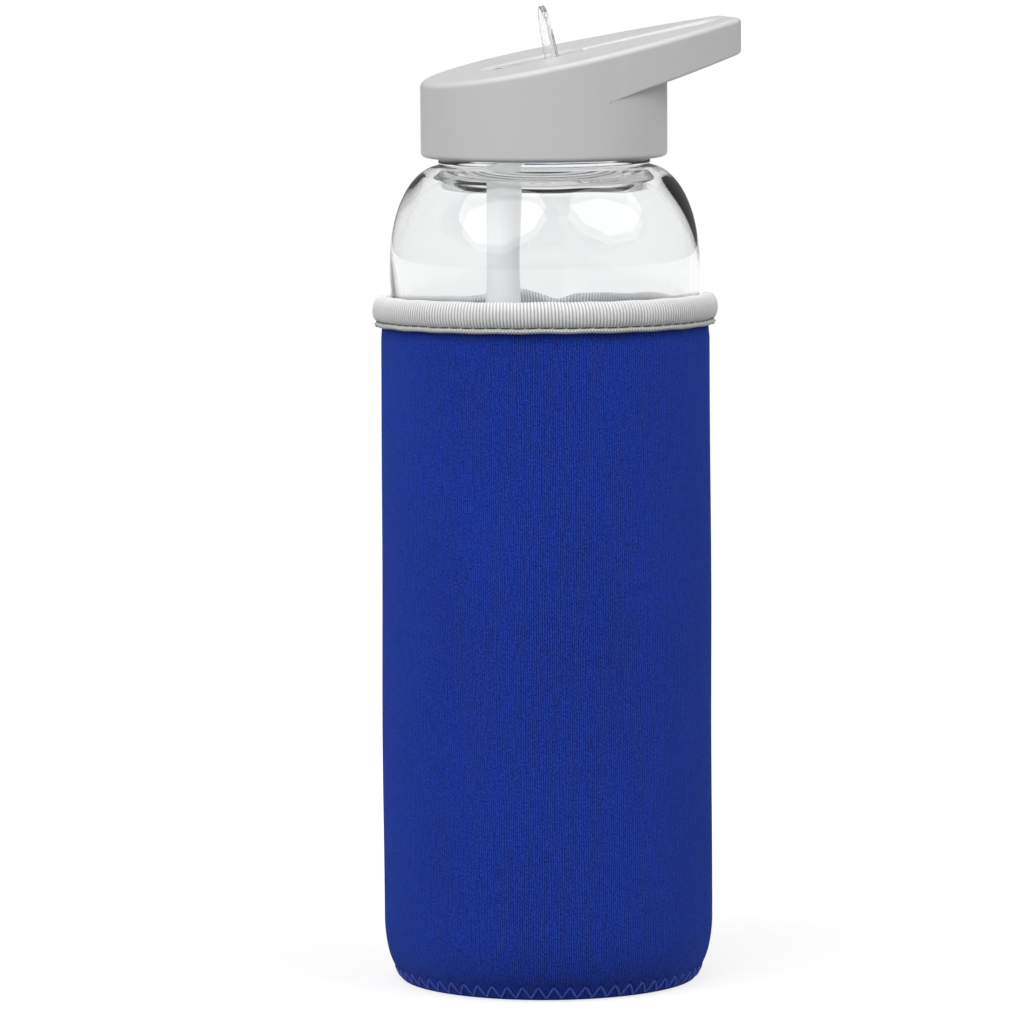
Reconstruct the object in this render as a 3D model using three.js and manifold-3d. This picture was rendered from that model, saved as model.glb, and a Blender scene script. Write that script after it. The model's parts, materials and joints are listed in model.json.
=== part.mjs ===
// Glass water bottle: a glass body in a neoprene sleeve, closed by a screw lid that carries a beak-shaped
// handle, a clear flip spout and a straw.
// Millimetres. Z is up, the origin is the centre of the sleeve's underside, and +X points along the beak.

import * as THREE from "three";
import { mergeVertices } from "three/addons/utils/BufferGeometryUtils.js";
import Module from "manifold-3d";

// ---------- Driving dimensions, in millimetres and degrees ----------

const gap = 0.3; // clearance between pieces that touch
const sides = 40; // flats round a large turned piece
const smallSides = 16; // flats round a small one

const sleeve = {
  thickness: 1.7, // of the laminated neoprene
  baseThickness: 2,
  height: 164.2, // floor to the sleeve's top edge
  heelWidth: 10, // the wall turns in over the heel as part of an ellipse
  heelTuck: 4.1, // part of that ellipse's height that would lie under the floor
  rimFlare: 1.1, // the tape under the rim pushes the neoprene out this far
  rimThickness: 1.1, // neoprene squeezed by the tape
};

const binding = {
  tape: 0.8, // thickness of the folded tape's inner leg
  bulge: 1.2, // thickness of the outer leg where it is fullest
  hemBelowTop: 6.8, // lower edge of the outer leg under the sleeve's top edge
  innerBelowTop: 5.6, // lower edge of the inner leg under the sleeve's top edge
};

const thread = {
  thickness: 0.5, // sewing thread
  hemRow: 0.9, // height of the stitch row above the tape's lower edge
  baseRowWidth: 2.8, // height of the zigzag seam round the base
  baseRowLow: 0.6,
  backRowWidth: 3.2, // width of the flat seam up the back
};

const glass = {
  radius: 37,
  wall: 2.4,
  baseThickness: 6,
  punt: 2.5, // rise of the hollow under the base
  standWidth: 3, // flat ring that the glass stands on, between punt and heel
  heelRadius: 11,
  bodyHeight: 170.2, // foot to the start of the shoulder
  shoulderHeight: 23.1,
  collarStep: 0.75, // collar over the neck's radius
  collarHeight: 1.6,
  neckRadius: 24,
  neckHeight: 13.8, // top of the shoulder to the rim
  lipRadius: 0.9,
};

const screw = {
  pitch: 4.5,
  ridge: 1.2, // height of each ridge
  rootWidth: 2.2,
  crestWidth: 1,
  start: 6.2, // first turn above the top of the shoulder
  glassTurns: 1.1,
  lidTurns: 0.8,
  lidLead: 45, // degrees by which the lid's ridge starts after the glass's
  axialPlay: 0.45, // between flanks when the lid is tight
  radialPlay: 0.4, // from each crest to the wall it faces
  runOut: 0.1, // of a turn, over which each end fades into the wall
  rowSpacing: 0.6,
};

const lid = {
  wall: 1.5,
  topThickness: 1.8,
  aboveShoulder: 2.1, // open line between the shoulder and the skirt
  spoutAxisHeight: 17.35, // skirt's lower edge to the spout's axis; the top lies as far above as the barrel needs
  slope: 0.197, // rise of the top for each millimetre towards the beak
  edgeRadius: 1.2,
  snapHeight: 3, // snap bead above the skirt's lower edge
  snapDepth: 0.4,
};

const beak = {
  overhang: 17.4, // tip from the skirt's face
  leaveAngle: 77, // where the side walls leave the skirt, from the beak's direction
  sideRadius: 100,
  cornerRadius: 5,
  tipDepth: 9.3, // thickness at the tip
  undersideSlope: 0.27,
  wall: 2,
  rib: 1.6, // stiffener along the pocket under the beak
};

const slot = {
  backRoom: 1.9, // behind the spout's barrel
  fingerRoom: 6.9, // in front of the folded spout's mouth
  sideRoom: 1.75, // beside the barrel
  collarWall: 1.2,
  collarDepth: 2.3, // collar round the slot, from the top surface down
};

const trough = { depth: 0.9, startHalfWidth: 1.6, endHalfWidth: 4, tipMargin: 3.5 };

const liner = {
  wall: 2,
  plate: 1.4,
  underside: 2, // plate's underside above the glass rim, filled by the gasket
  wellRoom: 0.1, // round the corners of the spout's barrel
  wellWall: 1.5,
  stubWall: 0.9,
  stubLength: 8,
  bottomInset: 0.7, // liner's lower edge above the skirt's
};

const spout = {
  pivotX: -10,
  barrelCover: 0.3, // barrel under the lid's top surface
  barrelRadius: 3.8,
  barrelLength: 7.2,
  tubeRadius: 3,
  bore: 2,
  length: 13.6, // pivot axis to the mouth
  tabThickness: 1.4,
  tabHalfWidth: 4.3,
  tabHeight: 12.1, // above the lid's top
  trunnionRadius: 1.4,
  trunnionEndRoom: 0.4, // trunnion's end inside the cradle's outer face
  cradleHalfWidth: 2.4,
  cradleWall: 3,
  cradleRoot: 0.4, // sunk into the liner's plate
};

const seal = { thickness: 1.6, cheek: 1.4 };
const gasket = { thickness: 1.4, width: 2.8, overlap: 0.1 };

const valve = {
  stem: 0.8, // radii of the stem, the flap and the knob
  flap: 2.6,
  knob: 1.7,
  flapThickness: 0.7,
  knobHeight: 0.5,
  ventRadius: 0.5,
  vents: 3,
  ventCircle: 1.85,
};

const straw = { radius: 4.05, wall: 0.7, footGap: 14 };

// ---------- Places that follow from them ----------

const glassFoot = sleeve.baseThickness + gap;
const bodyTop = glassFoot + glass.bodyHeight;
const shoulderTop = bodyTop + glass.shoulderHeight;
const rim = shoulderTop + glass.neckHeight;
const innerNeck = glass.neckRadius - glass.wall;
const collarRadius = glass.neckRadius + glass.collarStep;
const heelCentre = glass.radius - glass.heelRadius;
const glassFloor = glassFoot + glass.baseThickness;

const sleeveInner = glass.radius + gap;
const sleeveOuter = sleeveInner + sleeve.thickness;
const heelHeight = glassFoot + glass.heelRadius + sleeve.thickness;
const bindingOuter = sleeveInner + sleeve.rimFlare + sleeve.rimThickness + gap + binding.bulge;

const lidBottom = shoulderTop + lid.aboveShoulder;
const pivotDepth = spout.barrelRadius + spout.barrelCover;
const pivotZ = lidBottom + lid.spoutAxisHeight;
const tilt = Math.atan(lid.slope);
const topAtAxis = pivotZ + pivotDepth / Math.cos(tilt) - lid.slope * spout.pivotX;
const topAt = (x) => topAtAxis + lid.slope * x;

const linerBore = glass.neckRadius + screw.ridge + screw.radialPlay;
const linerOuter = linerBore + liner.wall;
const linerBottom = lidBottom + liner.bottomInset;
const plateBottom = rim + liner.underside;
const plateTop = plateBottom + liner.plate;
const skirtInner = linerOuter + gap;
const lidRadius = skirtInner + lid.wall;

const beakReach = lidRadius + beak.overhang;
const undersideAtAxis = topAt(beakReach) - beak.tipDepth - beak.undersideSlope * beakReach;

const halfBarrel = spout.barrelLength / 2;
const cradleInner = halfBarrel + gap;
const cradleOuter = cradleInner + spout.cradleWall;
const cradleLow = plateTop - spout.cradleRoot;
const slotBack = spout.pivotX - spout.barrelRadius - slot.backRoom;
const slotFront = spout.pivotX + spout.length + slot.fingerRoom;
const slotHalfWidth = halfBarrel + slot.sideRoom;

const wellRadius = Math.hypot(spout.barrelRadius, halfBarrel) + liner.wellRoom;
const barrelBottom = pivotZ - spout.barrelRadius;
const sealTop = barrelBottom - gap;
const wellFloorTop = sealTop - seal.thickness - gap;
const wellBottom = wellFloorTop - liner.wellWall;
const stubRadius = straw.radius - straw.wall - gap;
const strawTop = wellBottom - gap;
const strawFoot = glassFloor + straw.footGap;

// ---------- Geometry helpers ----------

const wasm = await Module();
wasm.setup();

/** A closed three.js geometry as a manifold solid. */
function solidOf(geometry) {
  const loose = geometry.index ? geometry.toNonIndexed() : geometry;
  const bare = new THREE.BufferGeometry();
  bare.setAttribute("position", loose.getAttribute("position"));
  const merged = mergeVertices(bare, 1e-4);
  return new wasm.Manifold(
    new wasm.Mesh({
      numProp: 3,
      vertProperties: merged.getAttribute("position").array,
      triVerts: new Uint32Array(merged.index.array),
    }),
  );
}

/** A manifold solid as a three.js geometry. */
function geometryOf(solid) {
  const mesh = solid.getMesh();
  const geometry = new THREE.BufferGeometry();
  geometry.setAttribute("position", new THREE.BufferAttribute(mesh.vertProperties, mesh.numProp));
  geometry.setIndex(new THREE.BufferAttribute(mesh.triVerts, 1));
  geometry.computeVertexNormals();
  return geometry;
}

/** Points on an ellipse's arc in the radius-height plane, angles in degrees. */
function arc(radius, height, radiusAcross, radiusUp, from, to, steps) {
  const points = [];
  for (let i = 0; i <= steps; i++) {
    const angle = THREE.MathUtils.degToRad(from + ((to - from) * i) / steps);
    points.push([radius + radiusAcross * Math.cos(angle), height + radiusUp * Math.sin(angle)]);
  }
  return points;
}

/** A profile of [radius, height] points, counterclockwise round its material, turned about Z. */
function turned(profile, flats = sides) {
  const points = profile.map(([radius, height]) => new THREE.Vector2(Math.max(radius, 0), height));
  return new THREE.LatheGeometry(points, flats).rotateX(Math.PI / 2);
}

/** A ring turned about Z from a profile that closes on itself. */
const ring = (profile, flats = sides) => turned([...profile, profile[0]], flats);

/** A cylinder along Z from one height to another. */
function post(radius, low, high, flats = smallSides) {
  return turned([[0, low], [radius, low], [radius, high], [0, high]], flats);
}

/** A cylinder along Y, centred on the spout's pivot axis. */
function crossPost(radius, length, flats = smallSides) {
  return new THREE.CylinderGeometry(radius, radius, length, flats).translate(spout.pivotX, 0, pivotZ);
}

/** A shape in the XY plane as a solid prism between two heights. */
function prism(shape, low, high, curveSegments = 12) {
  const options = { depth: high - low, bevelEnabled: false, curveSegments };
  return new THREE.ExtrudeGeometry(shape, options).translate(0, 0, low);
}

/** Tilts a geometry from level to the slope of the lid's top, with z = 0 on the top surface. */
const onTop = (geometry) => geometry.rotateY(-tilt).translate(0, 0, topAtAxis);

/** A large block whose lower face is a plane that rises along X: it cuts away all above that plane. */
function blockAbove(heightAtAxis, slope) {
  const size = 4 * beakReach;
  const block = new THREE.BoxGeometry(size, size, size).translate(0, 0, size / 2);
  return block.rotateY(-Math.atan(slope)).translate(0, 0, heightAtAxis);
}

/** The same, with the plane as its upper face. */
function blockBelow(heightAtAxis, slope) {
  const size = 4 * beakReach;
  const block = new THREE.BoxGeometry(size, size, size).translate(0, 0, -size / 2);
  return block.rotateY(-Math.atan(slope)).translate(0, 0, heightAtAxis);
}

/** Points along a straight wall, close enough together to carry a thread. */
function wallRows(radius, from, to) {
  const count = Math.ceil(Math.abs(to - from) / screw.rowSpacing);
  return Array.from({ length: count + 1 }, (_, i) => [radius, from + ((to - from) * i) / count]);
}

/** Height of a helical ridge over its wall, at an angle in degrees and a height from the ridge's start. */
function ridgeAt(angle, height, turns) {
  const flank = (screw.rootWidth - screw.crestWidth) / 2;
  let out = 0;
  for (let turn = 0; turn <= turns; turn++) {
    const wound = turn + angle / 360;
    const fade = THREE.MathUtils.clamp(Math.min(wound, turns - wound) / screw.runOut, 0, 1);
    const inside = screw.rootWidth / 2 - Math.abs(height - screw.pitch * wound);
    out = Math.max(out, screw.ridge * fade * THREE.MathUtils.clamp(inside / flank, 0, 1));
  }
  return out;
}

/** Raises a helical ridge on one wall of a turned piece: direction is 1 outwards, -1 inwards. */
function threaded(geometry, wallRadius, direction, startHeight, startAngle, turns) {
  const position = geometry.getAttribute("position");
  for (let i = 0; i < position.count; i++) {
    const radius = Math.hypot(position.getX(i), position.getY(i));
    if (Math.abs(radius - wallRadius) < 1e-3) {
      const angle = THREE.MathUtils.radToDeg(Math.atan2(position.getY(i), position.getX(i)));
      const fromStart = THREE.MathUtils.euclideanModulo(Math.round(angle - startAngle), 360);
      const out = ridgeAt(fromStart, position.getZ(i) - startHeight, turns);
      const grow = (radius + direction * out) / radius;
      position.setXY(i, position.getX(i) * grow, position.getY(i) * grow);
    }
  }
  return geometry;
}

// ---------- Glass body ----------

function glassBottle() {
  const outer = [
    ...arc(0, glassFoot, heelCentre - glass.standWidth, glass.punt, 90, 0, 4),
    ...arc(heelCentre, glassFoot + glass.heelRadius, glass.heelRadius, glass.heelRadius, -90, 0, 5),
    ...arc(collarRadius, bodyTop, glass.radius - collarRadius, glass.shoulderHeight, 0, 90, 9),
    [collarRadius, shoulderTop + glass.collarHeight],
    ...wallRows(glass.neckRadius, shoulderTop + glass.collarHeight + collarRadius - glass.neckRadius,
      rim - glass.lipRadius - 0.1),
    ...arc(glass.neckRadius - glass.lipRadius, rim - glass.lipRadius, glass.lipRadius,
      glass.lipRadius, 0, 90, 3),
  ];
  const inner = [
    ...arc(innerNeck + glass.lipRadius, rim - glass.lipRadius, glass.lipRadius, glass.lipRadius, 90, 180, 3),
    ...arc(innerNeck, bodyTop, glass.radius - glass.wall - innerNeck, glass.shoulderHeight - glass.wall,
      90, 0, 8),
    ...arc(heelCentre, glassFloor + glass.heelRadius - glass.wall, glass.heelRadius - glass.wall,
      glass.heelRadius - glass.wall, 0, -90, 4),
    [0, glassFloor],
  ];
  const start = shoulderTop + screw.start;
  return threaded(turned([...outer, ...inner]), glass.neckRadius, 1, start, 0, screw.glassTurns);
}

// ---------- Neoprene sleeve ----------

/** The wall's curve over the heel, from its lower edge up, drawn in by an inset. */
function sleeveHeel(inset) {
  const across = sleeve.heelWidth - inset;
  const up = heelHeight + sleeve.heelTuck - inset;
  const start = -THREE.MathUtils.radToDeg(Math.asin((heelHeight - gap) / up));
  return arc(sleeveOuter - sleeve.heelWidth, heelHeight, across, up, start, 0, 6);
}

const wallFoot = sleeveHeel(sleeve.thickness)[0][0];
const flareLow = sleeve.height - binding.hemBelowTop - gap;
const flareHigh = flareLow + 2 * sleeve.rimFlare;

function sleeveWall() {
  const rimInner = sleeveInner + sleeve.rimFlare;
  return ring([
    ...sleeveHeel(0),
    [sleeveOuter, flareLow],
    [rimInner + sleeve.rimThickness, flareHigh],
    [rimInner + sleeve.rimThickness, sleeve.height],
    [rimInner, sleeve.height],
    [rimInner, flareHigh],
    [sleeveInner, flareLow],
    ...sleeveHeel(sleeve.thickness).reverse(),
  ]);
}

function sleeveBase() {
  return post(wallFoot - gap, 0, sleeve.baseThickness, sides);
}

function rimBinding() {
  const legInner = sleeveInner + sleeve.rimFlare + sleeve.rimThickness + gap;
  const hem = sleeve.height - binding.hemBelowTop;
  const tip = sleeve.height + gap + 1.5 * binding.tape;
  return ring([
    [sleeveInner, sleeve.height - binding.innerBelowTop + gap],
    [sleeveInner + binding.tape, sleeve.height - binding.innerBelowTop + gap],
    [sleeveInner + binding.tape, sleeve.height + gap],
    [legInner, sleeve.height + gap],
    [legInner, hem],
    [legInner + 0.4 * binding.bulge, hem],
    [legInner + 0.6 * binding.bulge, hem + 1.5],
    [bindingOuter, hem + 3.4],
    [bindingOuter, sleeve.height - 1.4],
    [legInner + 0.6 * binding.bulge, sleeve.height + 0.7],
    [legInner - 0.3, tip],
    [sleeveInner + binding.tape, tip - 0.2],
    [sleeveInner, sleeve.height],
  ]);
}

/** Row of lockstitch round the tape, just above its lower edge. */
function hemThread() {
  const low = sleeve.height - binding.hemBelowTop + thread.hemRow - thread.thickness / 2;
  const radius = bindingOuter - 0.4 * binding.bulge + gap;
  return ring([
    [radius, low],
    [radius + thread.thickness, low],
    [radius + thread.thickness, low + thread.thickness],
    [radius, low + thread.thickness],
  ]);
}

/** Zigzag seam that joins the base disc to the wall, as the band that it fills. */
function baseThread() {
  const band = sleeveHeel(-gap);
  const slopeIn = (band[1][0] - band[0][0]) / (band[1][1] - band[0][1]);
  const low = thread.baseRowLow;
  const high = low + thread.baseRowWidth;
  const at = (height) => band[0][0] + slopeIn * (height - band[0][1]);
  return ring([
    [at(low) + gap / 2, low],
    [at(low) + gap / 2 + thread.thickness, low],
    [at(high) + gap / 2 + thread.thickness, high],
    [at(high) + gap / 2, high],
  ]);
}

/** Flat seam up the back, where the wall's two ends meet. */
function backThread() {
  const low = heelHeight + gap;
  const high = flareLow - gap;
  const box = new THREE.BoxGeometry(thread.backRowWidth, thread.thickness, high - low);
  return box.translate(0, sleeveOuter + gap + thread.thickness / 2, (low + high) / 2);
}

// ---------- Lid ----------

/** Plan outline of the beak and skirt together, drawn in by an inset: the skirt's circle, a long arc
 *  down each side, a corner arc and the end face. */
function beakOutline(inset) {
  const leave = THREE.MathUtils.degToRad(beak.leaveAngle);
  const back = lidRadius - beak.sideRadius;
  const sideX = back * Math.cos(leave);
  const sideY = back * Math.sin(leave);
  const cornerX = beakReach - beak.cornerRadius;
  const across = beak.sideRadius - beak.cornerRadius;
  const cornerY = sideY + Math.sqrt(across ** 2 - (cornerX - sideX) ** 2);
  const turn = Math.atan2(cornerY - sideY, cornerX - sideX);
  const side = beak.sideRadius - inset;
  const corner = beak.cornerRadius - inset;
  const outline = new THREE.Shape();
  outline.absarc(0, 0, lidRadius - inset, leave, 2 * Math.PI - leave, false);
  outline.absarc(sideX, -sideY, side, -leave, -turn, false);
  outline.absarc(cornerX, -cornerY, corner, -turn, 0, false);
  outline.absarc(cornerX, cornerY, corner, 0, turn, false);
  outline.absarc(sideX, sideY, side, turn, leave, false);
  return outline;
}

/** Outline of the slot in the lid's top, grown by an offset. */
function slotOutline(grow) {
  const half = slotHalfWidth + grow;
  const outline = new THREE.Shape();
  outline.absarc(slotFront - slotHalfWidth, 0, half, -Math.PI / 2, Math.PI / 2, false);
  outline.absarc(slotBack + slotHalfWidth, 0, half, Math.PI / 2, 1.5 * Math.PI, false);
  return outline;
}

/** Shallow thumb groove from the slot to the beak's tip. */
function troughOutline() {
  const end = beakReach - trough.tipMargin - trough.endHalfWidth;
  const outline = new THREE.Shape();
  outline.moveTo(slotFront - 1, -trough.startHalfWidth);
  outline.lineTo(end, -trough.endHalfWidth);
  outline.absarc(end, 0, trough.endHalfWidth, -Math.PI / 2, Math.PI / 2, false);
  outline.lineTo(slotFront - 1, trough.startHalfWidth);
  return outline;
}

function lidShell() {
  const tall = topAt(beakReach) + 20;
  const edge = lid.edgeRadius;
  const skirt = solidOf(turned([
    [0, lidBottom],
    ...arc(lidRadius - edge, lidBottom + edge, edge, edge, -90, 0, 3),
    [lidRadius, tall],
    [0, tall],
  ]));
  const handle = solidOf(prism(beakOutline(0), lidBottom, tall, 16))
    .subtract(solidOf(blockBelow(undersideAtAxis, beak.undersideSlope)));
  const pocket = solidOf(prism(beakOutline(beak.wall), lidBottom, tall, 16))
    .subtract(solidOf(post(lidRadius + beak.wall, lidBottom - 1, tall + 1, sides)))
    .subtract(solidOf(blockAbove(topAtAxis - beak.wall, lid.slope)))
    .subtract(solidOf(new THREE.BoxGeometry(4 * beakReach, beak.rib, 4 * tall)));
  const snapLow = lidBottom + lid.snapHeight;
  const cavity = solidOf(turned([
    [0, lidBottom - 1],
    [skirtInner, lidBottom - 1],
    [skirtInner, snapLow],
    [skirtInner + lid.snapDepth, snapLow + lid.snapDepth],
    [skirtInner + lid.snapDepth, snapLow + 2 * lid.snapDepth],
    [skirtInner, snapLow + 3 * lid.snapDepth],
    [skirtInner, tall],
    [0, tall],
  ])).subtract(solidOf(blockAbove(topAtAxis - lid.topThickness, lid.slope)));
  const collar = solidOf(onTop(prism(slotOutline(slot.collarWall), -slot.collarDepth, -0.5)));
  const opening = solidOf(onTop(prism(slotOutline(0), -slot.collarDepth - 1, 5)));
  const groove = solidOf(onTop(prism(troughOutline(), -trough.depth, 5)));
  return geometryOf(
    skirt.add(handle).subtract(solidOf(blockAbove(topAtAxis, lid.slope))).subtract(pocket)
      .subtract(cavity).add(collar).subtract(opening).subtract(groove),
  );
}

/** Screw cap inside the shell, with the well for the spout, the straw's stub and the spout's cradles. */
function lidLiner() {
  const snapLow = lidBottom + lid.snapHeight;
  const profile = turned([
    [0, plateBottom],
    ...wallRows(linerBore, plateBottom, linerBottom),
    [linerOuter, linerBottom],
    [linerOuter, snapLow],
    [linerOuter + lid.snapDepth, snapLow + lid.snapDepth],
    [linerOuter + lid.snapDepth, snapLow + 2 * lid.snapDepth],
    [linerOuter, snapLow + 3 * lid.snapDepth],
    [linerOuter, plateTop],
    [0, plateTop],
  ]);
  const startHeight = shoulderTop + screw.start + (screw.pitch * screw.lidLead) / 360
    - (screw.rootWidth + screw.crestWidth) / 2 - screw.axialPlay;
  const cap = solidOf(threaded(profile, linerBore, -1, startHeight, screw.lidLead, screw.lidTurns));
  const atPivot = (geometry) => solidOf(geometry.translate(spout.pivotX, 0, 0));
  const wellOuter = atPivot(post(wellRadius + liner.wellWall, wellBottom, plateTop));
  const wellInner = atPivot(post(wellRadius, wellFloorTop, plateTop + 1));
  const stub = atPivot(post(stubRadius, wellBottom - liner.stubLength, wellBottom + 0.5));
  const stubBore = atPivot(post(stubRadius - liner.stubWall, wellBottom - liner.stubLength - 1, plateTop));
  let made = cap.add(wellOuter).add(stub).subtract(wellInner).subtract(stubBore);
  const cradleTop = pivotZ + gap;
  for (const side of [-1, 1]) {
    const block = new THREE.BoxGeometry(2 * spout.cradleHalfWidth, spout.cradleWall, cradleTop - cradleLow);
    const middle = (side * (cradleInner + cradleOuter)) / 2;
    made = made.add(solidOf(block.translate(spout.pivotX, middle, (cradleTop + cradleLow) / 2)));
  }
  made = made.subtract(solidOf(crossPost(spout.trunnionRadius + gap, 4 * cradleOuter)));
  made = made.subtract(solidOf(post(valve.stem + gap, plateBottom - 1, plateTop + 1)));
  for (let i = 0; i < valve.vents; i++) {
    const angle = (2 * Math.PI * (i + 0.5)) / valve.vents;
    const vent = post(valve.ventRadius, plateBottom - 1, plateTop + 1, 8);
    vent.translate(valve.ventCircle * Math.cos(angle), valve.ventCircle * Math.sin(angle), 0);
    made = made.subtract(solidOf(vent));
  }
  return geometryOf(made);
}

function lidGasket() {
  const outer = glass.neckRadius + gasket.overlap;
  const low = rim + gap;
  return ring([
    [outer - gasket.width, low],
    [outer, low],
    [outer, low + gasket.thickness],
    [outer - gasket.width, low + gasket.thickness],
  ]);
}

/** Umbrella valve in the middle of the plate: it lets air in as water is drawn out. */
function airValve() {
  const flapTop = plateBottom - gap;
  return turned([
    [0, flapTop - valve.flapThickness],
    [valve.flap, flapTop - 0.3 * valve.flapThickness],
    [valve.flap, flapTop],
    [valve.stem, flapTop],
    [valve.stem, plateTop + gap],
    [valve.knob, plateTop + gap],
    [valve.stem, plateTop + gap + valve.knobHeight],
    [0, plateTop + gap + valve.knobHeight],
  ], smallSides);
}

/** Soft seat under the spout's barrel. Its cheeks rise beside the barrel. */
function spoutSeal() {
  const low = wellFloorTop + gap;
  const radius = wellRadius - gap;
  const cheekTop = Math.min(sealTop + seal.cheek, cradleLow - gap);
  const body = solidOf(post(radius, low, cheekTop).translate(spout.pivotX, 0, 0));
  const hole = solidOf(post(spout.bore, low - 1, sealTop + 3).translate(spout.pivotX, 0, 0));
  return geometryOf(
    body.subtract(solidOf(crossPost(spout.barrelRadius + gap, 4 * radius))).subtract(hole),
  );
}

// ---------- Spout and straw ----------

/** Clear spout, folded: barrel across the slot, tube towards the beak and an upright oval tab. */
function flipSpout() {
  const along = (geometry) => geometry.rotateY(-tilt).translate(spout.pivotX, 0, pivotZ);
  const tabFoot = new THREE.Shape();
  const tabStart = pivotDepth;
  tabFoot.absellipse(tabStart, 0, spout.tabHeight, spout.tabHalfWidth, -Math.PI / 2, Math.PI / 2, false);
  tabFoot.absellipse(tabStart, 0, tabStart + spout.tubeRadius, spout.tabHalfWidth, Math.PI / 2,
    1.5 * Math.PI, false);
  const tab = new THREE.ExtrudeGeometry(tabFoot, {
    depth: spout.tabThickness,
    bevelEnabled: false,
    curveSegments: 12,
  });
  // The shape lies in XY with X as height: turn X to Z and the thickness to X.
  tab.rotateY(-Math.PI / 2).translate(spout.length, 0, 0);
  const tube = new THREE.CylinderGeometry(spout.tubeRadius, spout.tubeRadius, spout.length, smallSides);
  tube.rotateZ(-Math.PI / 2).translate(spout.length / 2, 0, 0);
  const boreLength = spout.length + 2 * spout.barrelRadius + 2;
  const bore = new THREE.CylinderGeometry(spout.bore, spout.bore, boreLength, smallSides);
  bore.rotateZ(-Math.PI / 2).translate(spout.length / 2, 0, 0);
  return geometryOf(
    solidOf(crossPost(spout.barrelRadius, spout.barrelLength, 28))
      .add(solidOf(crossPost(spout.trunnionRadius, 2 * (cradleOuter - spout.trunnionEndRoom))))
      .add(solidOf(along(tube)))
      .add(solidOf(along(tab)))
      .subtract(solidOf(along(bore))),
  );
}

function drinkingStraw() {
  const inner = straw.radius - straw.wall;
  return ring([
    [inner, strawFoot],
    [straw.radius, strawFoot],
    [straw.radius, strawTop],
    [inner, strawTop],
  ], smallSides).translate(spout.pivotX, 0, 0);
}

// ---------- Assembly ----------

/** A named mesh with its own material. */
function piece(name, geometry, color, roughness, metalness = 0) {
  const mesh = new THREE.Mesh(geometry, new THREE.MeshStandardMaterial({ color, roughness, metalness }));
  mesh.name = name;
  return mesh;
}

const fabric = new THREE.Group();
fabric.add(
  piece("sleeve_wall", sleeveWall(), 0x1b2f8f, 0.85),
  piece("sleeve_base", sleeveBase(), 0x1a2c86, 0.85),
  piece("rim_binding", rimBinding(), 0xc9cbcb, 0.8),
  piece("binding_thread", hemThread(), 0x9b9c9a, 0.7),
  piece("base_seam_thread", baseThread(), 0x1d339c, 0.7),
  piece("back_seam_thread", backThread(), 0x1d339c, 0.7),
);

const cap = new THREE.Group();
cap.add(
  piece("lid_shell", lidShell(), 0xbdbdbd, 0.45),
  piece("lid_liner", lidLiner(), 0xd4d4d2, 0.4),
  piece("lid_gasket", lidGasket(), 0xf0f0ee, 0.6),
  piece("air_valve", airValve(), 0xf0f0ee, 0.6),
  piece("spout_seal", spoutSeal(), 0xf0f0ee, 0.6),
  piece("flip_spout", flipSpout(), 0xeef2f2, 0.08),
  piece("straw", drinkingStraw(), 0xf4f6f6, 0.35),
);

const bottle = new THREE.Group();
bottle.add(fabric, piece("glass_bottle", glassBottle(), 0xe3eeea, 0.04), cap);

export default bottle;
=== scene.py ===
"""Glass water bottle in a neoprene sleeve: its fine surfaces, finishes, light and camera, built round the
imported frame. Lengths in the formulas are millimetres, and become metres when a mesh is made."""

import json
import math

import bmesh
import bpy
import numpy as np
from bpy.props import FloatProperty, FloatVectorProperty, IntProperty, PointerProperty
from mathutils import Matrix, Vector


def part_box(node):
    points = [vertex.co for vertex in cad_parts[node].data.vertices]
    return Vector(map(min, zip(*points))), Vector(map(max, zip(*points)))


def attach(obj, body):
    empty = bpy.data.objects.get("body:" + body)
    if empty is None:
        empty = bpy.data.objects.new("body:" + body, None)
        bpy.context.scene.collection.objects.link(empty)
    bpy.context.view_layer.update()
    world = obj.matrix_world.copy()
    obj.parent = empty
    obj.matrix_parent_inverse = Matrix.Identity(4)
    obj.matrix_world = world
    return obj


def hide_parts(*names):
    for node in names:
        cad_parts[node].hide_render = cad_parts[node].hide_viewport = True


bl_info = {
    "name": "Glass water bottle",
    "version": (1, 0, 0),
    "blender": (4, 5, 0),
    "location": "3D View > Sidebar > Bottle",
    "description": "Builds a glass water bottle with a neoprene sleeve and a flip-spout lid",
    "category": "Add Mesh",
}

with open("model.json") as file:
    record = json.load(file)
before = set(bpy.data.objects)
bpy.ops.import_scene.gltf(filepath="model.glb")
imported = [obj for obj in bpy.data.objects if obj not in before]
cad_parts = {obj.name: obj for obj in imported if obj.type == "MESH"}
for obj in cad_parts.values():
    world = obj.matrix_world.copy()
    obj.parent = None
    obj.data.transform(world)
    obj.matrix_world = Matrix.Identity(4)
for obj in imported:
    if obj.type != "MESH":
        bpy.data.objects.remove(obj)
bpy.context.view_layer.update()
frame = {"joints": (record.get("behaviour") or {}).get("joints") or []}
MM = 0.001
TAU = 2 * math.pi


def node_box(name):
    """Lowest and highest corner of a CAD node, in millimetres."""
    low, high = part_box(name)
    return np.array(low) / MM, np.array(high) / MM


GLASS, LID, LINER, BINDING, STRAW, SEAL, GASKET, VALVE, BASE = map(node_box, (
    "glass_bottle", "lid_shell", "lid_liner", "rim_binding", "straw", "spout_seal", "lid_gasket", "air_valve",
    "sleeve_base",
))

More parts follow.
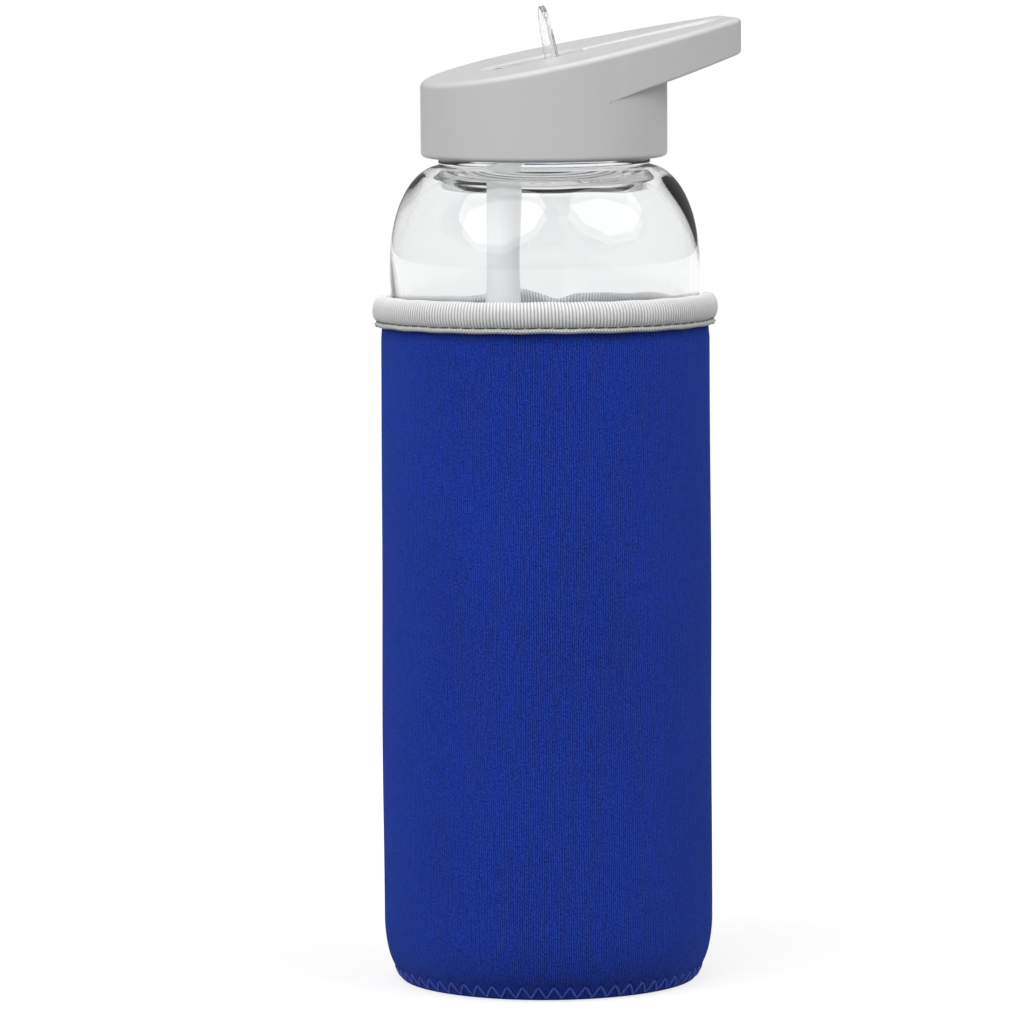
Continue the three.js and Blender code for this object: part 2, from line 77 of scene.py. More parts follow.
GAP = 0.3  # clearance between neighbours
GLASS_RADIUS = GLASS[1][0]
RIM_TOP = BINDING[1][2]
PIVOT_X = STRAW[0][0] / 2 + STRAW[1][0] / 2
PIVOT_Z = next(j for j in frame["joints"] if j["name"] == "spout_flip")["pos_m"][2] / MM
LID_BOTTOM = LID[0][2]
LID_RADIUS = LID[1][1]
BEAK_REACH = LID[1][0]
LID_SLOPE = 0.197  # rise of the lid's top along X
TILT = math.atan(LID_SLOPE)
TOP_AT_AXIS = LID[1][2] - math.tan(TILT) * BEAK_REACH
VIEW_ANGLE = math.radians(-105)  # direction round Z of the rim's front, opposite its dip


# ---------- Settings ----------


def colour(name, description, value):
    return FloatVectorProperty(
        name=name, description=description, default=value, subtype="COLOR", size=3, min=0, max=1
    )


def length(name, description, value):
    return FloatProperty(name=name, description=description, default=value * MM, unit="LENGTH", precision=5)


class GlassSettings(bpy.types.PropertyGroup):
    wall: length("Wall", "Thickness of the glass", 2.4)
    ripple: length("Ripple", "Unevenness of the inner surface", 0.16)
    tint: colour("Tint", "Colour of the glass", (0.938, 0.944, 0.947))


class SleeveSettings(bpy.types.PropertyGroup):
    blue: colour("Neoprene", "Colour of the knit face", (0.0108, 0.039, 0.33))
    wale: length("Wale pitch", "Distance between the knit's upright rows", 0.52)
    tape: colour("Tape", "Colour of the rim tape", (0.66, 0.66, 0.66))
    rib: length("Rib pitch", "Distance between the tape's ribs", 0.81)
    rib_height: length("Rib height", "Height of a rib", 0.2)
    stitch: length("Stitch", "Length of a stitch in the rim's row", 3.2)
    thread: length("Thread", "Thickness of the seams' thread", 0.5)


class LidSettings(bpy.types.PropertyGroup):
    grey: colour("Shell", "Colour of the lid's shell", (0.60, 0.60, 0.60))
    edge: length("Edge radius", "Rounding of the top's outer edge", 1.3)
    slot_edge: length("Slot edge radius", "Rounding of the slot's edge", 0.5)
    inner: colour("Screw cap", "Colour of the cap inside the shell", (0.62, 0.62, 0.61))
    straw: colour("Straw", "Colour of the straw", (0.9, 0.91, 0.91))


def bearing(name, description, value):
    return FloatProperty(name=name, description=description, default=math.radians(value), subtype="ANGLE")


def strength(name, description, value):
    return FloatProperty(name=name, description=description, default=value)


class StageSettings(bpy.types.PropertyGroup):
    azimuth: bearing("Azimuth", "Where the camera stands", -15)
    pitch: bearing("Pitch", "How far it looks down", 6.14)
    roll: bearing("Roll", "How far it leans", -0.36)
    aside: bearing("Aside", "How far it looks past the axis", 0.284)
    distance: length("Distance", "Camera to the bottle's axis", 1650)
    height: length("Height", "Camera above the floor", 290)
    lens: FloatProperty(name="Lens", description="Focal length", default=243.6, unit="CAMERA")
    flats: IntProperty(name="Backdrop flats", description="Flats round the backdrop", default=96)
    # The floor's glow near the bottle, dimmed below its far glow: a painted shadow.
    floor_shadow_glow: strength("Floor glow", "Light the floor gives off near the bottle", 0.74)
    fill: strength("Fill", "Light from all round", 0.2)
    left: strength("Left light", "Strength of the left softbox", 3.2)
    right: strength("Right light", "Strength of the right softbox", 2.9)
    top: strength("Top light", "Strength of the top softbox", 2.0)


# ---------- Surfaces ----------


def round_about(count):
    """Evenly spaced angles round a full turn."""
    return np.arange(count) / count * TAU


def at_angle(radius, angle, height):
    """Points at x = radius cos a, y = radius sin a, z = height."""
    return np.stack(np.broadcast_arrays(radius * np.cos(angle), radius * np.sin(angle), height), -1)


def unit(vectors):
    """Vectors, one to a row, divided by their lengths."""
    return vectors / np.linalg.norm(vectors, axis=1)[:, None]


def run_along(points):
    """Length along a line of points, from its first."""
    return np.concatenate([[0], np.cumsum(np.linalg.norm(np.diff(points, axis=0), axis=1))])


def turned(profile, count=192):
    """Profile of (radius, height) carried round Z."""
    radius, height = np.asarray(profile, float).T[..., None]
    return at_angle(radius, round_about(count), height)


def arc(radius, height, across, up, start, end, steps):
    """Points on an ellipse's arc in the radius-height plane, angles in degrees."""
    angle = np.radians(np.linspace(start, end, steps + 1))
    return np.stack([radius + across * np.cos(angle), height + up * np.sin(angle)], -1)


def line(start, end, steps):
    """Evenly spaced points from start to end, without the end."""
    share = np.arange(steps)[:, None] / steps
    return np.asarray(start, float) * (1 - share) + np.asarray(end, float) * share


def tube(path, radius, outward, sides=8):
    """Circle of the given radius carried along a closed path. Its frame is the path's tangent, the outward
    direction with the tangent's part taken away, and their cross product."""
    tangent = unit(np.roll(path, -1, 0) - np.roll(path, 1, 0))
    across = unit(np.cross(tangent, outward))
    normal = np.cross(across, tangent)
    angle = round_about(sides)[None, :, None]
    return path[:, None] + radius * (np.cos(angle) * normal[:, None] + np.sin(angle) * across[:, None])


def grid_faces(rows, columns, close_rows, seam=False):
    """Corner numbers of the quads between neighbouring rows and columns. Columns close, and rows where asked.
    With a seam the numbers run on past the last row and column, as a cloth map's corners do."""
    row = np.arange(rows if close_rows else rows - 1)[:, None]
    column = np.arange(columns)[None, :]
    if seam:
        wide, following, beside = columns + 1, row + 1, column + 1
    else:
        wide, following, beside = columns, (row + 1) % rows, (column + 1) % columns
    corners = [row * wide + column, row * wide + beside, following * wide + beside, following * wide + column]
    return np.stack(corners, -1).reshape(-1, 4)


def volume(points, faces):
    """Signed volume inside quads, as the sum of tetrahedra to the origin."""
    a, b, c, d = (points[faces[:, k]] for k in range(4))
    return float((a * np.cross(b, c)).sum() + (a * np.cross(c, d)).sum()) / 6


def make_piece(name, shells, finish, body, replaced, uv=None, painted_light=None):
    """One mesh from closed grids of points, faces outwards, riding on a body in place of a CAD node. A grid's
    rows close unless its first row is a pole. uv gives metres along columns and rows for the corners of a
    single grid. The last argument gives each point a number from 0 to 1, which the finish reads as an
    attribute of painted light and shade: 1 where the colour is painted lit, lower where it is painted in
    shade."""
    points, faces, start = [], [], 0
    for shell in shells:
        flat = shell.reshape(-1, 3) * MM
        closed = bool(np.ptp(shell[0], axis=0).max() > 1e-6)
        quads, corners = (grid_faces(*shell.shape[:2], closed, seam) for seam in (False, True))
        if volume(flat, quads) < 0:
            quads, corners = quads[:, ::-1], corners[:, ::-1]
        points.append(flat)
        faces.append(quads + start)
        start += len(flat)
    points, faces = np.concatenate(points), np.concatenate(faces)
    mesh = bpy.data.meshes.new(name)
    mesh.vertices.add(len(points))
    mesh.vertices.foreach_set("co", points.astype(np.float32).ravel())
    mesh.loops.add(faces.size)
    mesh.loops.foreach_set("vertex_index", faces.ravel().astype(np.int32))
    mesh.polygons.add(len(faces))
    mesh.polygons.foreach_set("loop_start", np.arange(0, faces.size, 4, dtype=np.int32))
    if uv is not None:
        layer = mesh.uv_layers.new(name="Cloth")
        layer.data.foreach_set("uv", uv.reshape(-1, 2)[corners].astype(np.float32).ravel())
        values = mesh.attributes.new("PaintedLight", "FLOAT", "POINT").data
        values.foreach_set("value", painted_light.astype(np.float32).ravel())
    mesh.update(calc_edges=True)
    made = bmesh.new()
    made.from_mesh(mesh)
    bmesh.ops.remove_doubles(made, verts=made.verts, dist=2e-7)
    bmesh.ops.dissolve_degenerate(made, edges=made.edges, dist=1e-7)
    made.to_mesh(mesh)
    made.free()
    mesh.polygons.foreach_set("use_smooth", np.ones(len(mesh.polygons), bool))
    mesh.update()
    mesh.materials.append(finish)
    piece = bpy.data.objects.new(name, mesh)
    bpy.context.scene.collection.objects.link(piece)
    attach(piece, body)
    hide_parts(replaced)
    return piece


# ---------- Finishes ----------


class Wire:
    """A socket in a material. Sums, differences and products of wires add Math nodes."""

    def __init__(self, finish, socket):
        self.finish, self.socket = finish, socket

    def math(self, operation, *others):
        return self.finish.node("Math", {"operation": operation}, dict(enumerate((self, *others))))

    def __add__(self, other):
        return self.math("ADD", other)

    def __sub__(self, other):
        return self.math("SUBTRACT", other)

    def __rsub__(self, other):
        return self.finish.node("Math", {"operation": "SUBTRACT"}, {0: other, 1: self})

    def __mul__(self, other):
        return self.math("MULTIPLY", other)

    __radd__, __rmul__ = __add__, __mul__

    def wave(self, pitch):
        """Sine of the wire with the given pitch, from 0 to 1."""
        return (self * (TAU / pitch)).math("SINE") * 0.5 + 0.5


class Finish:
    """A material whose Principled shader's inputs are numbers, colours or wires."""

    def __init__(self, name):
        self.material = bpy.data.materials.new(name)
        self.material.use_nodes = True
        self.tree = self.material.node_tree
        self.tree.nodes.clear()
        self.output = self.tree.nodes.new("ShaderNodeOutputMaterial")

    def node(self, kind, settings=None, values=None, out=0):
        """Adds a node of a kind, sets its settings, then its sockets' values or links. Gives one output. A
        colour may be given as three numbers."""
        made = self.tree.nodes.new("ShaderNode" + kind)
        for key, value in (settings or {}).items():
            setattr(made, key, value)
        for key, value in (values or {}).items():
            socket = made.inputs[key]
            if isinstance(value, Wire):
                self.tree.links.new(value.socket, socket)
            elif isinstance(value, tuple) and len(value) == 3 and len(socket.default_value) == 4:
                socket.default_value = (*value, 1)
            else:
                socket.default_value = value
        return Wire(self, made.outputs[out])

    def place(self, kind="Object"):
        """Coordinates on the piece, in metres: Object, or UV where the pattern follows the cloth."""
        return self.node("TexCoord", out=kind)

    def painted_light(self):
        """The piece's own attribute of painted light and shade: 1 where the colour is painted lit, lower
        where it is painted in shade.
        """
        return self.node("Attribute", {"attribute_name": "PaintedLight"}, out="Fac")

    def noise(self, place, scale, detail=2.0, roughness=0.5):
        """Noise at a scale, or stretched by three scales."""
        if isinstance(scale, tuple):
            place, scale = self.node("Mapping", values={"Vector": place, "Scale": scale}), 1.0
        values = {"Vector": place, "Scale": scale, "Detail": detail, "Roughness": roughness}
        return self.node("TexNoise", values=values)

    def blend(self, share, first, second):
        """Colour between two others."""
        return self.node("Mix", {"data_type": "RGBA"}, {0: share, 6: first, 7: second}, out=2)

    def tones(self, share, base, dark, light):
        """Colour between a base made darker and made lighter by two factors."""
        return self.blend(share, shaded(base, dark), shaded(base, light))

    def bump(self, height, distance, strength):
        return self.node("Bump", values={"Height": height, "Distance": distance, "Strength": strength})

    def shade(self, **inputs):
        """Ends the material in a Principled shader. Underscores in names stand for spaces."""
        values = {key.replace("_", " "): value for key, value in inputs.items()}
        shader = self.node("BsdfPrincipled", values=values)
        self.tree.links.new(shader.socket, self.output.inputs["Surface"])
        return self.material


def shaded(base, factor):
    """A colour made lighter or darker."""
    return tuple(min(1.0, part * factor) for part in base)


def neoprene_finish(settings):
    """Jersey on foam rubber: fine upright wales of stitches, a little fuzz and slow changes of tone. Where
    the piece's attribute falls, in the dents of the foot's seam, the knit is painted a nearly black blue:
    painted shade.
    """
    blue = tuple(settings.blue)
    f = Finish("Blue neoprene")
    uv = f.place("UV")
    across = f.node("SeparateXYZ", values={0: uv})
    wales = (across + f.noise(uv, (500, 60, 1)) * 0.0008).wave(settings.wale)
    loops = f.noise(uv, (3000, 2000, 1), 2.0, 0.6)
    streaks = f.noise(uv, (1700, 300, 1))
    slow = f.noise(uv, (26, 15, 1))
    share = (loops - 0.5) * 2.6 + (streaks - 0.5) * 0.7 + (wales - 0.5) * 0.6 + (slow - 0.5) * 0.4 + 0.5
    return f.shade(
        # Painted shade: the colour goes to 0.12 of the blue where the piece's attribute falls, in the seam's
        # dents.
        Base_Color=f.blend(f.painted_light(), shaded(blue, 0.12), f.tones(share, blue, 0.45, 1.7)),
        Roughness=0.82 + loops * 0.14,
        Specular_IOR_Level=0.1,
        Sheen_Weight=0.22,
        Sheen_Roughness=0.5,
        Sheen_Tint=(0.08, 0.2, 1.0),
        Normal=f.bump(wales * 0.35 + loops * 0.9, 0.00028, 0.9),
    )


def tape_finish(settings):
    """Ribbed tape: matt threads across each rib. Its colour carries painted light and shade from the piece's
    attribute: lighter on the rib crests and the hem's twists, darker in the valleys between ribs and along
    the sewn groove. Fuzz and slow noise add random tone.
    """
    f = Finish("Grey ribbed tape")
    uv = f.place("UV")
    threads = f.node("SeparateXYZ", values={0: uv}, out=1).wave(0.00028)
    fuzz = f.noise(uv, (2400, 2400, 1), 3.0, 0.6)
    slow = f.noise(uv, (60, 60, 1))
    # Painted highlight and shade: the attribute lightens the crests and darkens the valleys and the sewn
    # groove.
    share = (f.painted_light() * 0.8 + fuzz * 0.25 + slow * 0.15).math("SMOOTH_MIN", 1.0, 0.1)
    return f.shade(
        Base_Color=f.tones(share, tuple(settings.tape), 0.3, 1.38),
        Roughness=0.8 + fuzz * 0.12,
        Specular_IOR_Level=0.25,
        Sheen_Weight=0.25,
        Sheen_Roughness=0.4,
        Normal=f.bump(threads * 0.5 + fuzz * 0.6, 0.00012, 0.55),
    )


def thread_finish(name, base):
    """Twisted sewing thread: two tones along its lay."""
    f = Finish(name)
    fuzz = f.noise(f.place(), 5200.0, 3.0, 0.6)
    lay = f.noise(f.place(), (2600, 2600, 700), 1.0)
    return f.shade(
        Base_Color=f.tones(lay, base, 0.65, 1.4),
        Roughness=0.62 + fuzz * 0.2,
        Sheen_Weight=0.2,
        Normal=f.bump(fuzz * 0.6 + lay * 0.4, 0.0001, 0.5),
    )


def glass_finish(tint):
    """Clear pressed glass, polished, with faint flow lines."""
    f = Finish("Clear glass")
    return f.shade(
        Base_Color=tint,
        Roughness=0.0,
        IOR=1.5,
        Transmission_Weight=1.0,
        Normal=f.bump(f.noise(f.place(), (22, 22, 9)), 0.0006, 0.22),
    )


def moulded_finish(name, base, roughness, painted_glow=0.0):
    """Moulded plastic: spark-eroded grain too fine to see one by one, and slow changes of gloss. The glow is
    painted light: the piece gives off light in its own colour, though it is no lamp, standing for light that
    reaches it through the glass round it."""
    f = Finish(name)
    fine = f.noise(f.place(), 2600.0, 3.0, 0.55)
    slow = f.noise(f.place(), 55.0)
    return f.shade(
        Base_Color=f.tones(slow * 0.6 + fine * 0.4, base, 0.965, 1.035),
        Roughness=(roughness - 0.04) + fine * 0.05 + slow * 0.04,
        Specular_IOR_Level=0.42,
        Normal=f.bump(fine, 0.00004, 0.35),
        # Painted light: a glow in the plastic's own colour.
        Emission_Color=base,
        Emission_Strength=painted_glow,
    )


def clear_plastic_finish():
    """Clear moulded plastic of the spout, slightly uneven."""
    f = Finish("Clear plastic")
    slow = f.noise(f.place(), 160.0)
    return f.shade(
        Base_Color=(0.93, 0.945, 0.945),
        Roughness=0.04 + slow * 0.04,
        IOR=1.49,
        Transmission_Weight=0.94,
        Normal=f.bump(slow, 0.0002, 0.2),
    )


def straw_finish(base):
    """Milky extruded plastic with faint draw lines along it. It glows a little in its own colour: painted
    light, though it is no lamp, standing for light that the glass round it keeps off.
    """
    f = Finish("Milky straw")
    lines = f.noise(f.place(), (1800, 1800, 12))
    return f.shade(
        Base_Color=f.tones(lines, base, 0.97, 1.02),
        Roughness=0.3 + lines * 0.12,
        IOR=1.49,
        Transmission_Weight=0.25,
        # Painted light: a faint glow in the straw's colour.
        Emission_Color=base,
        Emission_Strength=0.13,
        Normal=f.bump(lines, 0.00005, 0.3),
    )


def silicone_finish():
    """Milky silicone rubber: soft gloss and dust-fine unevenness. It glows a little: painted light, though it
    is no lamp, making it lighter inside the lid, where little light reaches it.
    """
    f = Finish("Silicone")
    fine = f.noise(f.place(), 1500.0, 3.0)
    slow = f.noise(f.place(), 120.0)
    return f.shade(
        Base_Color=f.blend(slow, (0.74, 0.74, 0.72), (0.82, 0.82, 0.80)),
        Roughness=0.42 + fine * 0.14,
        # Painted light: a glow in a pale grey.
        Emission_Color=(0.8, 0.8, 0.78),
        Emission_Strength=0.3,
        Normal=f.bump(fine, 0.00005, 0.4),
    )


# ---------- Glass ----------

SHOULDER_TOP = GLASS[1][2] - 13.8  # foot of the neck
BODY_TOP = SHOULDER_TOP - 23.1  # top of the straight wall
NECK, COLLAR, GLASS_HEEL, LIP = 24.0, 24.75, 11.0, 0.9  # radii
FLOOR = 6.0  # height of the inner floor over the foot
SCREW_START = SHOULDER_TOP + 6.2
PITCH, RIDGE, ROOT, CREST = 4.5, 1.2, 2.2, 1.0  # the ridge's rise for a turn, height and widths
RUN_OUT = 0.1  # share of a turn over which it fades


def ridge(angle, height, turns):
    """Height of a helical ridge over its wall. At wound turns the ridge's middle is wound x pitch up; it
    falls from crest to root along straight flanks, and fades out over its first and last tenth of a turn."""
    out = np.zeros(np.broadcast(angle, height).shape)
    for turn in range(int(turns) + 1):
        wound = turn + np.mod(angle, TAU) / TAU
        fade = np.clip(np.minimum(wound, turns - wound) / RUN_OUT, 0, 1)
        inside = (ROOT / 2 - np.abs(height - PITCH * wound)) / ((ROOT - CREST) / 2)
        part = np.clip(inside, 0, 1)
        out = np.maximum(out, RIDGE * fade * part * part * (3 - 2 * part))
    return out


def glass_points(wall, ripple):
    """Outer and inner profile turned about Z. The outer neck carries the helical ridge; the inner surface
    wanders by the ripple, as a sum of slow waves round and up the bottle."""
    foot, top = GLASS[0][2], GLASS[1][2]
    heel_centre = GLASS_RADIUS - GLASS_HEEL
    outer = np.concatenate([
        arc(0, foot, heel_centre - 3, 2.5, 90, 4, 12),
        line((heel_centre - 3, foot), (heel_centre - 0.3, foot), 3),
        arc(heel_centre, foot + GLASS_HEEL, GLASS_HEEL, GLASS_HEEL, -90, 0, 16),
        line((GLASS_RADIUS, foot + GLASS_HEEL + 0.8), (GLASS_RADIUS, BODY_TOP), 36),
        arc(COLLAR, BODY_TOP, GLASS_RADIUS - COLLAR, SHOULDER_TOP - BODY_TOP, 0, 86, 44),
        arc(COLLAR, SHOULDER_TOP + 0.8, 0.55, 0.8, -80, 80, 8),
        line((COLLAR - 0.1, SHOULDER_TOP + 1.75), (NECK + 0.05, SHOULDER_TOP + 2.4), 3),
        line((NECK, SHOULDER_TOP + 2.6), (NECK, top - LIP - 0.05), 40),
        arc(NECK - LIP, top - LIP, LIP, LIP, 0, 90, 8),
    ])
    bore, inside, floor, heel_in = NECK - wall, GLASS_RADIUS - wall, foot + FLOOR, GLASS_HEEL - wall
    lip = arc(bore + LIP, top - LIP, LIP, LIP, 90, 180, 8)[1:]
    neck = line((bore, top - LIP - 0.3), (bore, SHOULDER_TOP - wall), 12)
    inner = np.concatenate([
        lip,
        neck,
        arc(bore, BODY_TOP, inside - bore, SHOULDER_TOP - BODY_TOP - wall, 90, 0, 40),
        line((inside, BODY_TOP - 3), (inside, floor + heel_in), 40),
        arc(heel_centre, floor + heel_in, heel_in, heel_in, 0, -90, 14),
        line((heel_centre - 2, floor), (0, floor), 8),
        [[0, floor]],
    ])
    points = turned(np.concatenate([outer, inner]), 256)
    row = np.arange(len(points))[:, None]
    angle = np.arctan2(points[..., 1], points[..., 0])
    radius, height = np.hypot(points[..., 0], points[..., 1]), points[..., 2]
    on_neck = (row < len(outer)) & (np.abs(radius - NECK) < 1e-6)
    grow = np.where(on_neck, ridge(angle, height - SCREW_START, 1.1), 0)
    waves = (
        np.sin(3 * angle + height / 17) + 0.7 * np.sin(5 * angle - height / 9 + 1)
        + 0.6 * np.sin(height / 5.3 + 2 * angle) + 0.35 * np.sin(11 * angle + height / 4)
    )
    rippled = (row >= len(outer) + 22) & (height > floor + 6) & (height < SHOULDER_TOP - 4)
    grow = grow + np.where(rippled, ripple * waves / 2, 0)
    points[..., :2] *= ((radius + grow) / np.maximum(radius, 1e-9))[..., None]
    return points


# ---------- Sleeve ----------

SEAM_POINTS = 62  # points of the foot's zigzag on each side
HEEL_ACROSS, HEEL_UP, HEEL_HEIGHT, NEOPRENE = 10.0, 19.1, 15.0, 1.7
SLEEVE_OUTER = GLASS_RADIUS + GAP + NEOPRENE
RIM_TABLE = (  # direction from the far side in degrees, height of the rim under its highest place
    (-180, 0.0), (-135, 0.3), (-100, 0.6), (-85, 1.0), (-72, 2.3), (-58, 3.5), (-44, 2.9), (-33, 3.0),
    (-22, 3.2), (-11, 3.3), (-5, 4.6), (1, 3.2), (8, 2.3), (14, 2.9), (22, 3.5), (34, 3.6), (50, 3.3),
    (66, 2.4), (80, 1.6), (100, 0.9), (135, 0.4),
)


def rim_drop(angle):
    """How far the rim dips under its highest place: the table read round the bottle, then smoothed."""
    fine = np.arange(1440) / 4
    from_back = np.degrees(VIEW_ANGLE) + 180
    places, drops = np.array(RIM_TABLE, float).T
    drop = np.interp(fine, np.mod(places + from_back, 360), drops, period=360)
    window = np.hanning(21) / np.hanning(21).sum()
    drop = np.convolve(np.tile(drop, 3), window, "same")[1440:2880]
    return np.interp(np.mod(np.degrees(angle), 360), fine, drop, period=360)


def heel(inset, steps):
    """Part of the ellipse along which the wall turns in over the heel, from its lower edge up."""
    across, up = HEEL_ACROSS - inset, HEEL_UP - inset
    start = -math.degrees(math.asin((HEEL_HEIGHT - GAP) / up))
    return arc(SLEEVE_OUTER - HEEL_ACROSS, HEEL_HEIGHT, across, up, start, 0, steps)


SEAM_MIDDLE, SEAM_SWING, SEAM_SHARP = 2.15, 1.3, 0.97  # the zigzag's height, swing and pointedness


def sleeve_points():
    """Wall section carried round: outside up from the foot, squeezed thin under the tape, inside down. The
    top follows the rim's dip; the face swells by fractions of a millimetre, with a seam groove behind and a
    dent at each point of the foot's zigzag. The third result is 1 on the face and falls to 0 in each dent:
    painted shade, which the finish paints into the knit's colour there."""
    top, inner = RIM_TOP - 1.5, GLASS_RADIUS + GAP
    flare = top - 6.2
    face = np.concatenate([heel(0, 26), line((SLEEVE_OUTER, HEEL_HEIGHT + 1), (SLEEVE_OUTER, flare), 48)])
    profile = np.concatenate([
        face,
        line((SLEEVE_OUTER, flare), (inner + 2.2, flare + 2.2), 5),
        line((inner + 2.2, flare + 2.2), (inner + 2.2, top - 0.3), 6),
        [[inner + 2.0, top - 0.05], [inner + 1.8, top], [inner + 1.4, top], [inner + 1.2, top - 0.1]],
        line((inner + 1.1, top - 0.3), (inner + 1.1, flare + 2.2), 6),
        line((inner + 1.1, flare + 2.2), (inner, flare), 4),
        line((inner, flare), (inner, HEEL_HEIGHT + 1), 30),
        heel(NEOPRENE, 16)[::-1],
    ])
    foot = profile[0] * 0.5 + profile[-1] * 0.5
    profile = np.concatenate([profile, [foot + [-0.1, -0.12]]])
    points = turned(profile, SEAM_POINTS * 8)
    angle = np.arctan2(points[..., 1], points[..., 0])
    height = points[..., 2].copy()
    points[..., 2] -= rim_drop(angle) * np.clip((height - 60) / (top - 60), 0, 1) ** 2
    swell = (
        0.33 + 0.15 * (1 - height / 160) + 0.10 * np.sin(2 * angle + height / 31)
        + 0.07 * np.sin(5 * angle - height / 23 + 2) + 0.05 * np.sin(height / 11 + 3 * angle)
    )
    behind = np.abs(np.mod(angle - math.pi / 2 + math.pi, TAU) - math.pi) * SLEEVE_OUTER
    groove = -0.35 * np.exp(-((behind / 0.5) ** 2))

    def holes(turn, level):
        along = (np.mod(angle * SEAM_POINTS / TAU - turn + 0.5, 1) - 0.5) * (TAU * 36.4 / SEAM_POINTS)
        return np.exp(-((along / 0.42) ** 2) - ((height - level) / 0.42) ** 2)

    outside = (np.arange(len(profile)) < len(face))[:, None]
    dents = np.clip(
        holes(0.25, SEAM_MIDDLE + SEAM_SWING) + holes(0.75, SEAM_MIDDLE - SEAM_SWING), 0, 1) * outside
    grow = np.where(outside, swell * smooth_step((height - 0.8) / 6) + groove, 0) - 0.5 * dents
    radius = np.hypot(points[..., 0], points[..., 1])
    points[..., :2] *= ((radius + grow) / radius)[..., None]
    # The third result, 1 less the dents, is painted shade: the knit is painted nearly black in each dent.
    return points, profile, 1 - dents


def cloth_map(profile, columns, radius):
    """Metres round the bottle and along the section, for each corner of the grid."""
    along = run_along(np.vstack([profile, profile[:1]])) * MM
    across = np.arange(columns + 1) / columns * TAU * radius * MM
    return np.stack(np.broadcast_arrays(across[None, :], along[:, None]), -1)


def base_points():
    """Disc of neoprene with a rounded edge."""
    radius, top = BASE[1][0], BASE[1][2]
    profile = np.concatenate([
        line((0, 0), (radius - 0.9, 0), 12),
        arc(radius - 0.9, top / 2, 0.9, top / 2, -90, 90, 10),
        line((radius - 1.2, top), (0, top), 12),
        [[0, top]],
    ])
    return turned(profile, 192), profile


TAPE_OUTSIDE = (  # radius and height under the rim of the tape's outer face, hem to inner leg
    (39.85, -6.95), (40.2, -7.05), (40.5, -6.9), (40.58, -6.6), (40.48, -6.3), (40.2, -6.1), (39.98, -5.95),
    (40.2, -5.75), (40.5, -5.4), (40.8, -4.8), (41.0, -4.0), (41.06, -3.2), (41.0, -2.4), (40.82, -1.65),
    (40.5, -1.0), (40.05, -0.42), (39.5, -0.08), (38.9, 0.0), (38.3, -0.1), (37.8, -0.42), (37.5, -0.9),
    (37.36, -1.6), (37.32, -2.8), (37.3, -4.2), (37.3, -5.6),
)
TAPE_INSIDE = (  # the same for its inner face, which lies on the wall
    (38.1, -5.6), (38.1, -3.5), (38.1, -1.25), (38.9, -1.15), (39.7, -1.25), (39.8, -3.5), (39.8, -5.2),
    (39.72, -6.8),
)
GROOVE_LEVEL, GROOVE_RADIUS = -5.95, 39.98  # where the tape is sewn down
TAPE_RADIUS = 40.5


def resample(points, step):
    """The same line with points a step apart along it, corners rounded by a cubic through the given ones."""
    p = np.asarray(points, float)
    ends = np.vstack([2 * p[0] - p[1], p, 2 * p[-1] - p[-2]])
    share = np.linspace(0, 1, 9)[:-1][:, None, None]
    a, b, c, d = ends[:-3], ends[1:-2], ends[2:-1], ends[3:]
    cubic = 0.5 * (
        2 * b + (c - a) * share + (2 * a - 5 * b + 4 * c - d) * share**2 + (3 * b - a - 3 * c + d) * share**3
    )
    fine = np.vstack([cubic.transpose(1, 0, 2).reshape(-1, 2), p[-1]])
    run = run_along(fine)
    at = np.linspace(0, run[-1], max(2, round(run[-1] / step) + 1))
    return np.stack([np.interp(at, run, part) for part in fine.T], -1)


